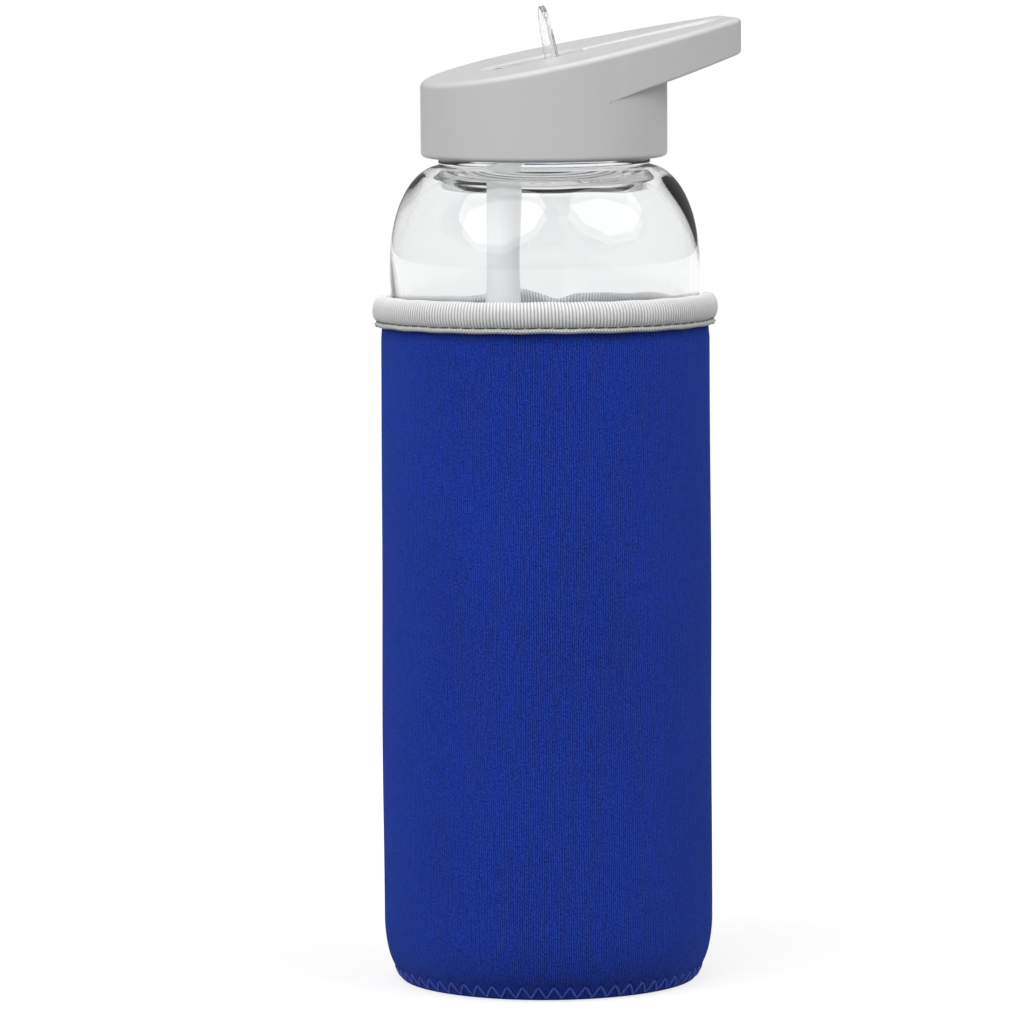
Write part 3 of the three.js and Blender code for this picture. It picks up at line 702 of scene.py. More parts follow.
def tape_points(settings):
    """Folded tape: its section carried round the rim. Ribs raise the face along its normal as a cosine of the
    angle, and slant where the tape turns over; the hem's edge is a twist of finer, steeper ribs. Slow sines
    pucker it, more behind. The third result is painted light and shade for the colour: high on the rib crests
    and the hem's twists, low in the valleys between them, and lower still along the sewn groove."""
    outside = resample(TAPE_OUTSIDE, 0.52)
    section = np.vstack([outside, TAPE_INSIDE])
    ribs = round(TAU * TAPE_RADIUS / (settings.rib / MM))
    angle = round_about(ribs * 6)[None, :]
    tangent = unit(np.roll(section, -1, 0) - np.roll(section, 1, 0))
    normal = np.stack([tangent[:, 1], -tangent[:, 0]], -1)
    row, run, level = np.arange(len(section))[:, None], run_along(section)[:, None], section[:, 1:]
    face = np.clip((len(outside) - 1 - row) / 3, 0, 1)
    body = face * np.clip((level - GROOVE_LEVEL - 0.1) / 0.5, 0, 1)
    edge = face * np.clip((GROOVE_LEVEL - 0.1 - level) / 0.3, 0, 1)
    over = np.clip((run - 6.5) / 3, 0, 1)
    wander = 0.6 * np.sin(3 * angle + 1) + 0.4 * np.sin(7 * angle)
    crest = (0.5 + 0.5 * np.cos(ribs * angle + (run - 4) * 0.25 + over * 2.2 + wander)) ** 0.6
    braid = 0.5 + 0.5 * np.cos(ribs * angle + 5.5 * run)
    grow = body * (settings.rib_height / MM) * crest + edge * 0.24 * braid
    pucker = (
        0.12 * np.sin(9 * angle + 2) + 0.1 * np.sin(17 * angle + 0.7 * np.sin(2 * angle))
        + 0.05 * np.sin(31 * angle)
    )
    back = np.exp(-((np.mod(angle - VIEW_ANGLE, TAU) - math.pi) / 1.1) ** 2)
    folds = back * (0.35 * np.sin(13 * angle + 1.1) + 0.3 * np.sin(21 * angle))
    upper = np.clip((level + 7) / 7, 0, 1)
    radius = section[:, :1] + normal[:, :1] * grow + upper * (pucker + np.maximum(folds, 0)) * 0.6
    height = level + normal[:, 1:] * grow + RIM_TOP - rim_drop(angle) + 0.06 * np.sin(23 * angle)
    radius = np.where((row >= len(outside) - 8) & (radius < GLASS_RADIUS + GAP), GLASS_RADIUS + GAP, radius)
    # Painted light and shade: crests and twists painted lighter, valleys darker, and the sewn groove darker
    # still.
    sewn = np.exp(-(((level - GROOVE_LEVEL) / 0.28) ** 2)) * face
    painted_light = 0.55 + (crest - 0.55) * np.clip(body + 1 - face, 0, 1) + (braid - 0.55) * edge
    return at_angle(radius, angle, height), section, painted_light * (1 - 0.7 * sewn)


def capsules(centres, directions, outward, long, thick):
    """Many rounded rods: a half circle turned about each direction, as arrays of rings."""
    share = np.linspace(0, math.pi, 9)
    along = -np.cos(share)[:, None, None] * long / 2
    across = (np.sin(share) ** 0.6 * thick / 2)[:, None, None]
    cos, sin = (part(round_about(8))[None, :, None] for part in (np.cos, np.sin))
    side = np.cross(directions, outward)
    return [
        c + along * d + across * (cos * o + sin * s)
        for c, d, o, s in zip(centres, directions, outward, side)
    ]


def stitch_shells(settings):
    """Lockstitches in the tape's groove: rods a stitch length apart that rise slightly along the row."""
    count = round(TAU * GROOVE_RADIUS / (settings.stitch / MM))
    angle = round_about(count)
    outward = at_angle(1, angle, 0)
    slope = unit(at_angle(1, angle + math.pi / 2, 0.04))
    centre = at_angle(GROOVE_RADIUS + 0.16, angle, RIM_TOP + GROOVE_LEVEL - rim_drop(angle))
    return capsules(centre, slope, outward, 2.75, 0.42)


def zigzag_path():
    """Thread over the heel's lower edge. Round the bottle its height swings between two levels as a
    triangle wave with rounded points, and it dives into the cloth at each point."""
    lower = heel(0, 60)
    angle = round_about(SEAM_POINTS * 20)
    swing = np.arcsin(SEAM_SHARP * np.sin(angle * SEAM_POINTS)) / math.asin(SEAM_SHARP)
    height = SEAM_MIDDLE + SEAM_SWING * swing
    radius = np.interp(height, lower[:, 1], lower[:, 0]) + 0.12 - 0.30 * np.abs(swing) ** 6
    return at_angle(radius, angle, height), unit(at_angle(1, angle, -0.5))


def flat_seam_path():
    """Thread of the seam behind: up one side and down the other, each a triangle wave across the seam."""
    low, high = HEEL_HEIGHT + 1, RIM_TOP - 9.5 - float(rim_drop(math.pi / 2))
    count, half, sharp, pitch = 1400, 1.45, 0.96, 2.6
    share = np.arange(count) / count
    height = high + (low - high) * np.abs(2 * share - 1)
    phase = TAU * (height - low) / pitch + np.where(share < 0.5, 0, math.pi)
    across = half * np.arcsin(sharp * np.sin(phase)) / math.asin(sharp)
    depth = SLEEVE_OUTER + 0.2 - 0.30 * np.abs(across / half) ** 6
    return np.stack([across, depth, height], -1), np.tile([0.0, 1.0, 0.0], (count, 1))


# ---------- Lid ----------

SLOT_MIDDLE, SLOT_HALF_LENGTH, SLOT_HALF_WIDTH = -2.6, 13.1, 5.35  # along the sloping top
SHELL, POCKET_ROOF = 1.8, 2.0  # thickness of the top, and of the top over the pocket
INNER_EDGE, SKIRT_EDGE = 0.8, 1.2  # rounding under the top, and of the skirt's foot
SNAP_LEVEL = LID_BOTTOM + 3
SNAP = ((0, -0.4), (0, 0), (0.4, 0.4), (0.4, 0.8), (0, 1.2), (0, 1.6))  # groove and bead: out, up
UNDER_SLOPE = 0.27
UNDER_AT_AXIS = LID[1][2] - 8.5 - UNDER_SLOPE * BEAK_REACH
SKIRT_INNER = LID_RADIUS - 1.5


def top_at(x):
    return TOP_AT_AXIS + math.tan(TILT) * x


def chain(centre_x, centre_y, radius, start, end, count=400):
    """Points on a circle's arc in plan, angles in radians."""
    angle = np.linspace(start, end, count)
    return np.stack([centre_x + radius * np.cos(angle), centre_y + radius * np.sin(angle)], -1)


def beak_chain(inset):
    """Lid's outline in plan, drawn in by an inset: the skirt's circle, a long arc of 100 mm down each side,
    a corner arc of 5 mm and the end face."""
    leave, side, corner = math.radians(77), 100.0, 5.0
    back = LID_RADIUS - side
    side_x, side_y = back * math.cos(leave), back * math.sin(leave)
    corner_x, across = BEAK_REACH - corner, side - corner
    corner_y = side_y + math.sqrt(across**2 - (corner_x - side_x) ** 2)
    turn = math.atan2(corner_y - side_y, corner_x - side_x)
    return np.concatenate([
        chain(0, 0, LID_RADIUS - inset, leave, TAU - leave, 1200),
        chain(side_x, -side_y, side - inset, -leave, -turn),
        chain(corner_x, -corner_y, corner - inset, -turn, 0),
        chain(corner_x, corner_y, corner - inset, 0, turn),
        chain(side_x, side_y, side - inset, turn, leave),
    ])


def slot_chain(grow, depth):
    """Slot's outline, grown by an offset, at a depth under the sloping top. It lies square to the top."""
    half = SLOT_HALF_WIDTH + grow
    reach = SLOT_HALF_LENGTH - SLOT_HALF_WIDTH
    plan = np.concatenate([
        chain(SLOT_MIDDLE + reach, 0, half, -math.pi / 2, math.pi / 2),
        chain(SLOT_MIDDLE - reach, 0, half, math.pi / 2, 1.5 * math.pi),
    ])
    x = plan[:, 0] * math.cos(TILT) + depth * math.sin(TILT)
    z = TOP_AT_AXIS + plan[:, 0] * math.sin(TILT) - depth * math.cos(TILT)
    return np.stack([x, plan[:, 1], z], -1)


class Rays:
    """Columns of a grid that stand on rays from a point on the X axis. A row is read off any outline that
    the rays cross once."""

    def __init__(self, centre, angles):
        self.centre, self.angles = centre, angles
        self.cos, self.sin = np.cos(angles), np.sin(angles)

    def on(self, outline):
        """The outline's points where the rays cross it, interpolated by direction."""
        outline = np.asarray(outline, float)
        seen = np.mod(np.arctan2(outline[:, 1], outline[:, 0] - self.centre), TAU)
        order, asked = np.argsort(seen), np.mod(self.angles, TAU)
        return np.stack([np.interp(asked, seen[order], part[order], period=TAU) for part in outline.T], -1)

    def reach(self, outline):
        """Distance from the rays' centre to the outline."""
        crossed = self.on(outline)
        return np.hypot(crossed[:, 0] - self.centre, crossed[:, 1])

    def beak(self, inset):
        """Distance along each ray to the lid's outline. Where the beak stands out little from the skirt's
        circle, it is eased back to the circle."""
        round_lid = self.circle(LID_RADIUS - inset)
        proud = self.reach(beak_chain(0)) - self.circle(LID_RADIUS)
        return round_lid + (self.reach(beak_chain(inset)) - round_lid) * smooth_step((proud - 0.03) / 0.5)

    def circle(self, radius):
        """Distance along each ray to a circle about the bottle's axis."""
        ahead = self.centre * self.cos
        return -ahead + np.sqrt(ahead**2 + radius**2 - self.centre**2)

    def at(self, reach, height):
        """Points at a distance along each ray, with a height."""
        reach = np.broadcast_to(reach, self.angles.shape)
        height = np.broadcast_to(height, self.angles.shape)
        return np.stack([self.centre + reach * self.cos, reach * self.sin, height], -1)

    def x(self, reach):
        return self.centre + reach * self.cos


def smooth_step(value):
    value = np.clip(value, 0, 1)
    return value * value * (3 - 2 * value)


def trough_depth(x, y):
    """Thumb groove: full depth within its outline, which widens from the slot and ends in a half circle
    near the tip, and a soft bank 1.1 mm wide."""
    start, end, narrow, wide = 9.0, BEAK_REACH - 7.5, 1.6, 4.0
    half = narrow + (wide - narrow) * np.clip((x - start) / (end - start), 0, 1)
    inside = np.where(x > end, wide - np.hypot(x - end, y), half - np.abs(y))
    inside = np.where(x < 4, -9, inside)
    return 0.9 * smooth_step(inside / 1.1 + 0.35)


PLATE_LOW, PLATE_TOP = GLASS[1][2] + 2, GLASS[1][2] + 3.4


def round_over(steps):
    """Sine and cosine at each step after the first over a quarter turn."""
    angle = np.linspace(0, math.pi / 2, steps + 1)[1:]
    return list(zip(np.sin(angle), np.cos(angle)))


def lid_points(settings):
    """Shell of the lid as one closed grid. Along each ray from the slot's middle, the rows go out over the
    sloping top, down the side, in along the beak's underside with its pocket, down the skirt, up inside it,
    in under the top and up the slot's wall. Where there is no beak, the underside's rows fall together."""
    degrees = np.concatenate([
        np.arange(-14, 14, 0.28), np.arange(14, 80, 1.2), np.arange(80, 280, 2.0), np.arange(280, 346, 1.2)
    ])
    rays = Rays(SLOT_MIDDLE, np.radians(np.mod(degrees, 360)))
    edge, slot_edge = settings.edge / MM, settings.slot_edge / MM
    outer, skirt, inner = rays.beak(0), rays.circle(LID_RADIUS), rays.circle(SKIRT_INNER)

    def top(reach, depth):
        """Row at a depth under the sloping top."""
        return rays.at(reach, top_at(rays.x(reach)) - depth)

    def under(reach):
        """Height of the beak's underside."""
        return UNDER_AT_AXIS + UNDER_SLOPE * rays.x(reach)

    def wall(reach, start, end, shares):
        """Upright rows at shares of the way between two heights."""
        return [rays.at(reach, start + (end - start) * share) for share in shares]

    # Top, from the slot to the rounded outer edge, and the side
    first, last = rays.reach(slot_chain(slot_edge, 0)), rays.beak(edge)
    shares = (0, 0.02, *np.linspace(0.05, 0.95, 26), 0.985, 1)
    ways = [(first + (last - first) * share, 0) for share in shares]
    ways += [(rays.beak(edge * (1 - s)), edge * (1 - c)) for s, c in round_over(7)]
    rows = [top(reach, depth + trough_depth(rays.x(reach), reach * rays.sin)) for reach, depth in ways]
    over = outer - skirt
    lip, fillet = np.minimum(0.6, 0.45 * over), np.minimum(0.5, 0.45 * over)
    rows += wall(outer, top_at(rays.x(outer)) - edge, under(outer) + lip, (0.03, 0.2, 0.4, 0.6, 0.8, 0.97, 1))
    # Underside of the beak with its pocket and rib
    turn = [(outer - lip * (1 - c), lip * (1 - s)) for s, c in round_over(5)]
    rows += [rays.at(reach, under(reach) + up) for reach, up in turn]
    limits = rays.beak(2.0), rays.circle(LID_RADIUS + 2)
    pocket_out, pocket_in = (np.clip(limit, skirt, outer) for limit in limits)
    middle, half = (pocket_out + pocket_in) / 2, np.maximum(0, (pocket_out - pocket_in) / 2)
    away = np.abs(np.mod(degrees + 180, 360) - 180)
    deep = smooth_step((2 * half - 0.6) / 2) * smooth_step((away - 0.9) / 0.5)
    rise = deep * (top_at(rays.x(middle)) - POCKET_ROOF - under(middle))
    draft, start, end = np.minimum(0.35, 0.4 * half), outer - lip, skirt + fillet
    ways = [(start + (middle + half - start) * share, 0) for share in (0.3, 0.9, 1)]
    ways += [(middle + half - draft * share, share) for share in (0.04, 0.5, 0.94)]
    ways += [(middle + (half - draft) * share, 1) for share in (0.97, 0.4, -0.4, -0.97)]
    ways += [(middle - half + draft * share, share) for share in (0.94, 0.5, 0.04)]
    ways += [(middle - half + (end - middle + half) * share, 0) for share in (0, 0.3, 1)]
    rows += [rays.at(reach, under(reach) + rise * share) for reach, share in ways]
    turn = [(skirt + fillet * (1 - s), fillet * (1 - c)) for s, c in round_over(6)]
    rows += [rays.at(reach, under(reach) - down) for reach, down in turn]
    # Skirt, down outside, round its foot and up past the snap groove inside
    rows += wall(skirt, under(skirt) - fillet, LID_BOTTOM + SKIRT_EDGE, (0.04, 0.3, 0.65, 0.97, 1))
    turn = [(LID_RADIUS - SKIRT_EDGE * (1 - c), LID_BOTTOM + SKIRT_EDGE * (1 - s)) for s, c in round_over(6)]
    turn += [(SKIRT_INNER + 0.1, LID_BOTTOM + 0.02), (SKIRT_INNER, LID_BOTTOM + 0.3)]
    turn += [(SKIRT_INNER + out, SNAP_LEVEL + up) for out, up in SNAP]
    rows += [rays.at(rays.circle(radius), height) for radius, height in turn]
    roof = top_at(rays.x(inner)) - SHELL - INNER_EDGE
    rows += wall(inner, SNAP_LEVEL + SNAP[-1][1], roof, (0.5, 0.97, 1))
    # Under the top, in to the collar round the slot, and up the slot's wall
    rows += [top(rays.circle(SKIRT_INNER - INNER_EDGE * (1 - c)), SHELL + INNER_EDGE * (1 - s))
             for s, c in round_over(4)]
    first, last = rays.circle(SKIRT_INNER - INNER_EDGE), rays.reach(slot_chain(1.2, SHELL))
    rows += [top(first + (last - first) * share, SHELL) for share in (0.03, 0.5, 0.97)]
    collar = (1.2, 1.85), (1.2, 2.2), (1.1, 2.3), (0.1, 2.3), (0, 2.2), (0, 1.9), (0, 1.4)
    rows += [rays.on(slot_chain(grow, depth)) for grow, depth in (*collar, (0, slot_edge + 0.1))]
    for s, c in reversed(round_over(5)):
        row = rays.on(slot_chain(slot_edge * (1 - s), slot_edge * (1 - c)))
        row[:, 2] -= c * trough_depth(row[:, 0], row[:, 1])
        rows.append(row)
    return np.stack(rows)


def liner_points():
    """Screw cap as one closed grid on rays from the spout well's axis: up the stub's bore, the well's floor
    and wall, out over the plate, down outside, up the threaded bore, in under the plate, down outside the
    well and the stub."""
    bore, outer, edge = 25.6, 27.6, 0.4
    stub, stub_bore, stub_length, well, well_out = 3.05, 2.15, 8, 5.33, 6.83
    angle = round_about(320)
    rays = Rays(PIVOT_X, np.arctan2(bore * np.sin(angle), bore * np.cos(angle) - PIVOT_X))
    low, floor, under = LINER[0][2], SEAL[0][2] - GAP, SEAL[0][2] - GAP - 1.5

    def posts(*places):
        """Rows round the well's axis."""
        return [rays.at(radius, height) for radius, height in places]

    def walls(*places):
        """Rows round the bottle's axis."""
        return [rays.at(rays.circle(radius), height) for radius, height in places]

    def plate(start, end, height, shares):
        """Level rows between two reaches."""
        return [rays.at(start + (end - start) * share, height) for share in shares]

    rows = posts(
        (stub_bore, under - stub_length), (stub_bore, under - 7.7), (stub_bore, floor - 0.2),
        (stub_bore + 0.2, floor), (well - 0.5, floor), (well - 0.15, floor + 0.15), (well, floor + 0.5),
        (well, PLATE_TOP - 0.3), (well + 0.1, PLATE_TOP - 0.1), (well + 0.3, PLATE_TOP),
        (well + 0.5, PLATE_TOP),
    )
    rows += plate(well + 0.5, rays.circle(outer - edge), PLATE_TOP, (0.3, 0.7, 0.98, 1))
    rows += walls(*((outer - edge * (1 - s), PLATE_TOP - edge * (1 - c)) for s, c in round_over(4)))
    rows += walls((outer, PLATE_TOP - 1), (outer, SNAP_LEVEL + 1.5))
    rows += walls(*((outer + out, SNAP_LEVEL + up) for out, up in SNAP[-2::-1]))
    rows += walls((outer, low + 0.5), (outer - 0.1, low + 0.15), (outer - 0.3, low), (outer - 1.0, low))
    foot = rays.on(chain(0, 0, bore, -math.pi, math.pi, 4000))
    turn = np.arctan2(foot[:, 1], foot[:, 0])
    start = SCREW_START + PITCH / 8 - (ROOT + CREST) / 2 - 0.45
    heights = np.linspace(low + 0.05, PLATE_LOW - 0.3, 44)[:, None]
    rows += list(at_angle(bore - ridge(turn - math.pi / 4, heights - start, 0.8), turn, heights))
    rows += walls((bore - 0.3, PLATE_LOW - 0.04), (bore - 0.6, PLATE_LOW))
    rows += plate(rays.circle(bore - 0.6), well_out + 0.4, PLATE_LOW, (0.4, 0.97))
    rows += posts(
        (well_out + 0.1, PLATE_LOW - 0.1), (well_out, PLATE_LOW - 0.4), (well_out, under + 0.6),
        (well_out - 0.15, under + 0.2), (well_out - 0.6, under), (stub + 0.5, under),
        (stub + 0.1, under - 0.15), (stub, under - 0.5), (stub, under - 7.5), (stub - 0.1, under - 7.85),
        (stub - 0.3, under - stub_length),
    )
    return np.stack(rows)


def cradle_shells():
    """Two blocks beside the well, open at the top in a half round for the spout's trunnions. The outline in
    the XZ plane is carried along Y with a small rounding at each end."""
    half, bore, top, foot, near, far = 2.4, 1.7, PIVOT_Z + GAP, PLATE_TOP - 0.4, 3.9, 6.9
    left, right = PIVOT_X - half, PIVOT_X + half
    outline = np.vstack([
        [(left, foot), (right, foot), (right, top - 0.3), (right - 0.3, top)],
        chain(PIVOT_X, PIVOT_Z, bore, math.radians(10), math.radians(-190), 33),
        [(left + 0.3, top), (left, top - 0.3)],
    ])
    middle = outline.mean(0)
    size, y = np.array([(0, near), (0.94, near), (1, near + 0.15), (1, far - 0.15), (0.94, far), (0, far)]).T
    ring = middle + (outline - middle) * size[:, None, None]
    return [
        np.stack(np.broadcast_arrays(ring[..., 0], side * y[:, None], ring[..., 1]), -1) for side in (-1, 1)
    ]


def gasket_points():
    """Flat ring with rounded corners."""
    low, high, outer = GASKET[0][2], GASKET[1][2], GASKET[1][0]
    inner, r = outer - 2.8, 0.35
    corners = (inner + r, low + r), (outer - r, low + r), (outer - r, high - r), (inner + r, high - r)
    arcs = [arc(*corner, r, r, 180 + 90 * k, 270 + 90 * k, 4) for k, corner in enumerate(corners)]
    return turned(np.concatenate(arcs))


def valve_points():
    """Umbrella valve: thin flap under the plate, stem, and a rounded knob above."""
    low, high = VALVE[0][2], VALVE[1][2]
    flap_top = GLASS[1][2] + 1.7
    profile = np.concatenate([
        [[0, low]], arc(0, flap_top, 2.6, flap_top - low, -80, -8, 8),
        [[2.6, flap_top - 0.05], [2.4, flap_top]],
        [[0.85, flap_top], [0.8, flap_top + 0.1], [0.8, high - 0.6], [0.9, high - 0.5]],
        [[1.6, high - 0.5]], arc(0, high - 0.45, 1.7, 0.45, 0, 86, 7), [[0, high]],
    ])
    return turned(profile, 48)


def seal_points():
    """Round seat with a hole. Its top is the lower of a flat cheek and the cylinder that the barrel needs."""
    radius, hole, room, low, cheek = SEAL[1][1], 2.0, 4.1, SEAL[0][2], SEAL[1][2]
    rays = Rays(PIVOT_X, round_about(96))

    def top(reach):
        groove = PIVOT_Z - np.sqrt(np.maximum(room**2 - (rays.x(reach) - PIVOT_X) ** 2, 0.01))
        return np.minimum(cheek, groove)

    rows = [rays.at(reach, low) for reach in (radius - 0.25, (radius + hole) / 2, hole + 0.15)]
    rows += [rays.at(hole, low + (top(hole) - low) * share) for share in (0.08, 0.5, 0.94)]
    rows += [rays.at(reach, top(reach)) for reach in np.linspace(hole + 0.15, radius - 0.2, 22)]
    rows += [rays.at(radius, low + (top(radius) - low) * share) for share in (0.94, 0.5, 0.08)]
    return np.stack(rows)


def on_top(points):
    """Turns points from level, with the pivot at the origin, to the lid's slope at the pivot."""
    x, y, z = np.moveaxis(points, -1, 0)
    c, s = math.cos(TILT), math.sin(TILT)
    return np.stack([PIVOT_X + x * c - z * s, y, PIVOT_Z + x * s + z * c], -1)


def rod(radius, half, edge, count=64):
    """Profile of a rounded rod turned about its axis, which lies along Y."""
    x, y, z = np.moveaxis(turned(np.concatenate([
        [[0, -half]], arc(radius - edge, edge - half, edge, edge, -90, 0, 5),
        line((radius, edge - half + 0.1), (radius, half - edge), 6),
        arc(radius - edge, half - edge, edge, edge, 0, 90, 5), [[0, half]],
    ]), count), -1, 0)
    return np.stack([x, z, -y], -1)


def tab_points():
    """Upright oval tab: half an ellipse up and half an ellipse down from the lid's surface. Across its face
    it is thin in the middle and thick along a rounded rim."""
    start, up, down, half, thick, front, r = 4.1, 12.1, 7.1, 4.3, 1.4, 13.6, 0.35
    angle = round_about(96)
    tall = np.where(np.sin(angle) > 0, up, down)
    shares = np.concatenate([np.linspace(0, 0.72, 10), np.linspace(0.76, 0.97, 8)])
    hollow = 0.36 * (1 - smooth_step((shares - 0.55) / 0.3))
    rim = [(0.97 + 0.03 * math.sin(a), front - r + r * math.cos(a)) for a in np.linspace(0.3, math.pi / 2, 4)]
    back = front - thick
    rim += [(1.0, back + r)]
    rim += [(0.97 + 0.03 * math.cos(a), back + r - r * math.sin(a)) for a in np.linspace(0.3, 1.27, 3)]
    section = np.vstack([
        np.stack([shares, front - hollow], -1), rim, np.stack([shares, back + hollow * 0.5], -1)[::-1]
    ])
    share, x = section.T[..., None]
    return np.stack(np.broadcast_arrays(
        x, half * share * np.cos(angle), start + tall * share * np.sin(angle)), -1)


def spout_shells():
    """Barrel across the slot, trunnions, tube with its bore and the tab, made level about the pivot and then
    turned to the lid's slope."""
    tube_profile = np.concatenate([
        [[0, 1.0], [2.7, 1.0], [3.0, 1.3]], line((3.0, 1.6), (3.0, 13.2), 8),
        arc(2.6, 13.3, 0.4, 0.4, 0, 90, 4), [[2.3, 13.7], [2.1, 13.62], [2.0, 13.4]],
        line((2.0, 13.0), (2.0, 2.2), 8), [[1.8, 1.9], [0, 1.8]],
    ])
    x, y, z = np.moveaxis(turned(tube_profile, 64), -1, 0)
    pipe = np.stack([z, y, -x], -1)
    return [on_top(shell) for shell in (rod(3.8, 3.6, 0.5), rod(1.4, 6.5, 0.25, 40), pipe, tab_points())]


def straw_points():
    """Tube with slightly rounded ends."""
    outer, inner = STRAW[1][1], STRAW[1][1] - 0.7
    low, high = STRAW[0][2], STRAW[1][2]
    profile = np.concatenate([
        [[inner, low + 0.15], [inner + 0.15, low], [outer - 0.15, low], [outer, low + 0.15]],
        line((outer, low + 0.3), (outer, high - 0.15), 60),
        [[outer, high - 0.15], [outer - 0.15, high], [inner + 0.15, high], [inner, high - 0.15]],
        line((inner, high - 0.3), (inner, low + 0.3), 40),
    ])
    return turned(profile, 72) + [PIVOT_X, 0, 0]


# ---------- Operators ----------


class BOTTLE_OT_glass(bpy.types.Operator):
    """Make the glass body"""

    bl_idname = "bottle.glass"
    bl_label = "Glass body"

    def execute(self, context):
        settings = context.scene.bottle_glass
        points = glass_points(settings.wall / MM, settings.ripple / MM)
        finish = glass_finish(tuple(settings.tint))
        body = make_piece("glass_body", [points], finish, "bottle", "glass_bottle")
        body.visible_shadow = body.visible_diffuse = False
        return {"FINISHED"}


class BOTTLE_OT_sleeve(bpy.types.Operator):
    """Make the neoprene wall and the disc in its foot"""

    bl_idname = "bottle.sleeve"
    bl_label = "Neoprene sleeve"

    def execute(self, context):
        finish = neoprene_finish(context.scene.bottle_sleeve)
        points, profile, painted_light = sleeve_points()
        wall = make_piece("sleeve_wall_cloth", [points], finish, "sleeve", "sleeve_wall",
                          cloth_map(profile, points.shape[1], SLEEVE_OUTER), painted_light)
        girth = TAU * (SLEEVE_OUTER - NEOPRENE / 2) * MM
        points, profile = base_points()
        disc = make_piece("sleeve_base_cloth", [points], finish, "sleeve", "sleeve_base",
                          cloth_map(profile, points.shape[1], BASE[1][0]), np.ones(points.shape[:2]))
        return {"FINISHED"}


class BOTTLE_OT_tape(bpy.types.Operator):
    """Make the folded tape round the rim and its stitches"""

    bl_idname = "bottle.tape"
    bl_label = "Rim tape"

    def execute(self, context):
        settings = context.scene.bottle_sleeve
        points, section, painted_light = tape_points(settings)
        tape = make_piece("rim_tape", [points], tape_finish(settings), "sleeve", "rim_binding",
                          cloth_map(section, points.shape[1], TAPE_RADIUS), painted_light)
        finish = thread_finish("Dark thread", (0.06, 0.06, 0.05))
        make_piece("rim_stitches", stitch_shells(settings), finish, "sleeve", "binding_thread")
        return {"FINISHED"}


class BOTTLE_OT_seams(bpy.types.Operator):
    """Make the zigzag seam round the foot and the flat seam behind"""

    bl_idname = "bottle.seams"
    bl_label = "Seams"

    def execute(self, context):
        thick = context.scene.bottle_sleeve.thread / MM
        finish = thread_finish("Blue thread", (0.014, 0.055, 0.46))
        for name, (path, outward), radius, sides, node in (
            ("foot_zigzag", zigzag_path(), thick / 2, 8, "base_seam_thread"),
            ("back_flat_seam", flat_seam_path(), 0.2, 6, "back_seam_thread"),
        ):
            make_piece(name, [tube(path, radius, outward, sides)], finish, "sleeve", node)
        return {"FINISHED"}


class BOTTLE_OT_lid_shell(bpy.types.Operator):
    """Make the lid's shell with its beak"""

    bl_idname = "bottle.lid_shell"
    bl_label = "Lid shell"

    def execute(self, context):
        settings = context.scene.bottle_lid
        finish = moulded_finish("Grey lid plastic", tuple(settings.grey), 0.42)
        make_piece("lid_shell_moulding", [lid_points(settings)], finish, "lid", "lid_shell")
        return {"FINISHED"}


class BOTTLE_OT_screw_cap(bpy.types.Operator):
    """Make the screw cap in the lid, with its gasket, valve and spout seal"""

    bl_idname = "bottle.screw_cap"
    bl_label = "Screw cap and seals"

    def execute(self, context):
        # The cap's plastic glows at 0.6: painted light.
        finish = moulded_finish("Off-white cap plastic", tuple(context.scene.bottle_lid.inner), 0.4, 0.6)
        shells = [liner_points(), *cradle_shells()]
        make_piece("screw_cap", shells, finish, "lid", "lid_liner")
        rubber = silicone_finish()
        for name, points, body, node in (
            ("rim_gasket", gasket_points(), "gasket", "lid_gasket"),
            ("umbrella_valve", valve_points(), "vent", "air_valve"),
            ("spout_seat", seal_points(), "lid", "spout_seal"),
        ):
            make_piece(name, [points], rubber, body, node)
        return {"FINISHED"}


class BOTTLE_OT_spout(bpy.types.Operator):
    """Make the clear flip spout"""

    bl_idname = "bottle.spout"
    bl_label = "Flip spout"

    def execute(self, context):
        finish = clear_plastic_finish()
        spout = make_piece("clear_spout", spout_shells(), finish, "spout", "flip_spout")
        spout.visible_shadow = False
        return {"FINISHED"}


class BOTTLE_OT_straw(bpy.types.Operator):
    """Make the straw"""

    bl_idname = "bottle.straw"
    bl_label = "Straw"

    def execute(self, context):
        finish = straw_finish(tuple(context.scene.bottle_lid.straw))
        make_piece("milky_straw", [straw_points()], finish, "straw", "straw")
        return {"FINISHED"}


def staged(name, points, faces, material):
    """A mesh that belongs to the studio."""
    mesh = bpy.data.meshes.new(name)
    mesh.from_pydata(points, [], faces)
    mesh.materials.append(material)
    made = bpy.data.objects.new(name, mesh)
    bpy.context.scene.collection.objects.link(made)
    return made


def glow(name, strength):
    """Black face that gives off white light."""
    return Finish(name).shade(Base_Color=(0, 0, 0), Roughness=0.9, Specular_IOR_Level=0.0,
                              Emission_Color=(1, 1, 1), Emission_Strength=strength)


def floor_finish(near):
    """Pale floor that glows a little less near the bottle: a painted soft shadow round its foot, which also
    lets the real shadow show there.
    """
    f = Finish("Pale floor")
    away = f.node("VectorMath", {"operation": "LENGTH"}, {0: f.place()}, out="Value")
    reach = {"Value": away, "From Min": 0.05, "From Max": 0.32}
    share = f.node("MapRange", {"interpolation_type": "SMOOTHSTEP"}, reach)
    return f.shade(
        Base_Color=(0.3, 0.3, 0.3),
        Roughness=0.9 + f.noise(f.place(), 40.0) * 0.01,
        Specular_IOR_Level=0.0,
        # Painted shadow: the glow dims to the near value close to the bottle.
        Emission_Color=f.blend(share, (near, near, near), (0.95, 0.95, 0.95)),
        Emission_Strength=1.0,
    )


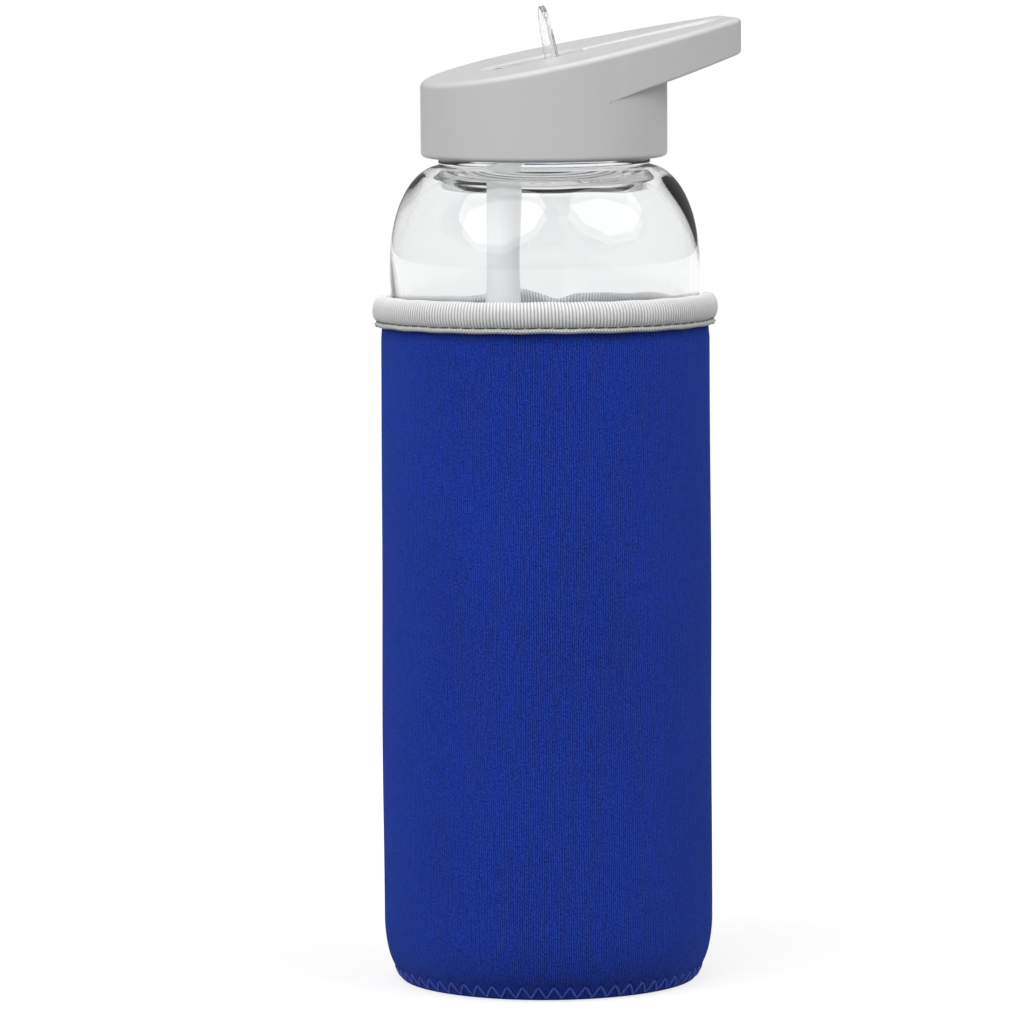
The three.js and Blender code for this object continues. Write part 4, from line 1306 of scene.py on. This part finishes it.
def softbox(name, centre, size, strength):
    """Eight-sided light that faces the bottle: the corners are points of an ellipse."""
    centre, corners = Vector(centre), 8
    facing = (Vector((0, 0, 0.2)) - centre).to_track_quat("Z", "Y").to_matrix()
    points = [
        tuple(centre + facing @ Vector((size[0] / 2 * math.cos(a), size[1] / 2 * math.sin(a), 0)))
        for a in (TAU * (k + 0.5) / corners for k in range(corners))
    ]
    made = staged(name, points, [list(range(corners))], glow(name, strength))
    made.visible_camera = made.visible_shadow = False


class BOTTLE_OT_stage(bpy.types.Operator):
    """Make the floor, the backdrop, the lights and the camera"""

    bl_idname = "bottle.stage"
    bl_label = "Studio"

    def execute(self, context):
        scene, settings = context.scene, context.scene.bottle_stage
        count = settings.flats
        ring = [tuple(5 * part for part in (math.cos(a), math.sin(a))) for a in round_about(count)]
        floor = staged("floor", [(x, y, 0) for x, y in ring], [list(range(count))],
                       floor_finish(settings.floor_shadow_glow))
        wall = staged(
            "backdrop", [(x, y, z) for z in (-0.5, 6) for x, y in ring],
            [[k, (k + 1) % count, count + (k + 1) % count, count + k] for k in range(count)],
            glow("White backdrop", 1.02),
        )
        floor.visible_diffuse = False
        wall.visible_diffuse = wall.visible_glossy = wall.visible_shadow = False
        softbox("left_softbox", (-0.76, -0.51, 0.97), (1.5, 1.4), settings.left)
        softbox("right_softbox", (0.66, -0.64, 0.97), (1.25, 1.15), settings.right)
        softbox("top_softbox", (0.05, 0.25, 1.5), (1.1, 1.1), settings.top)
        world = bpy.data.worlds.new("Studio")
        world.use_nodes = True
        background = world.node_tree.nodes["Background"].inputs
        background[0].default_value, background[1].default_value = (1, 1, 1, 1), settings.fill
        scene.world = world
        scene.view_settings.view_transform = "Standard"
        camera = bpy.data.cameras.new("Camera")
        camera.lens, camera.sensor_width = settings.lens, 36
        camera.clip_start, camera.clip_end = 0.1, 50
        holder = bpy.data.objects.new("Camera", camera)
        scene.collection.objects.link(holder)
        place = Vector((math.sin(settings.azimuth), -math.cos(settings.azimuth), 0)) * settings.distance
        place.z = settings.height
        holder.matrix_world = (
            Matrix.Translation(place) @ Matrix.Rotation(settings.azimuth + settings.aside, 4, "Z")
            @ Matrix.Rotation(math.pi / 2 - settings.pitch, 4, "X") @ Matrix.Rotation(settings.roll, 4, "Z")
        )
        scene.camera = holder
        return {"FINISHED"}


OPERATORS = (
    BOTTLE_OT_glass, BOTTLE_OT_sleeve, BOTTLE_OT_tape, BOTTLE_OT_seams, BOTTLE_OT_lid_shell,
    BOTTLE_OT_screw_cap, BOTTLE_OT_spout, BOTTLE_OT_straw, BOTTLE_OT_stage,
)
SETTINGS = {
    "bottle_glass": GlassSettings, "bottle_sleeve": SleeveSettings, "bottle_lid": LidSettings,
    "bottle_stage": StageSettings,
}


class BOTTLE_PT_pieces(bpy.types.Panel):
    """Sizes, colours and pieces of the bottle"""

    bl_idname = "BOTTLE_PT_pieces"
    bl_label = "Glass water bottle"
    bl_space_type = "VIEW_3D"
    bl_region_type = "UI"
    bl_category = "Bottle"

    def draw(self, context):
        for name, group in SETTINGS.items():
            box = self.layout.box()
            for key in group.__annotations__:
                box.prop(getattr(context.scene, name), key)
        for operator in OPERATORS:
            self.layout.operator(operator.bl_idname)


def register():
    for item in (*SETTINGS.values(), *OPERATORS, BOTTLE_PT_pieces):
        bpy.utils.register_class(item)
    for name, group in SETTINGS.items():
        setattr(bpy.types.Scene, name, PointerProperty(type=group))


def unregister():
    for name in SETTINGS:
        delattr(bpy.types.Scene, name)
    for item in reversed((*SETTINGS.values(), *OPERATORS, BOTTLE_PT_pieces)):
        bpy.utils.unregister_class(item)


def main():
    register()
    for operator in OPERATORS:
        group, action = operator.bl_idname.split(".")
        getattr(getattr(bpy.ops, group), action)()


if __name__ == "__main__":
    main()
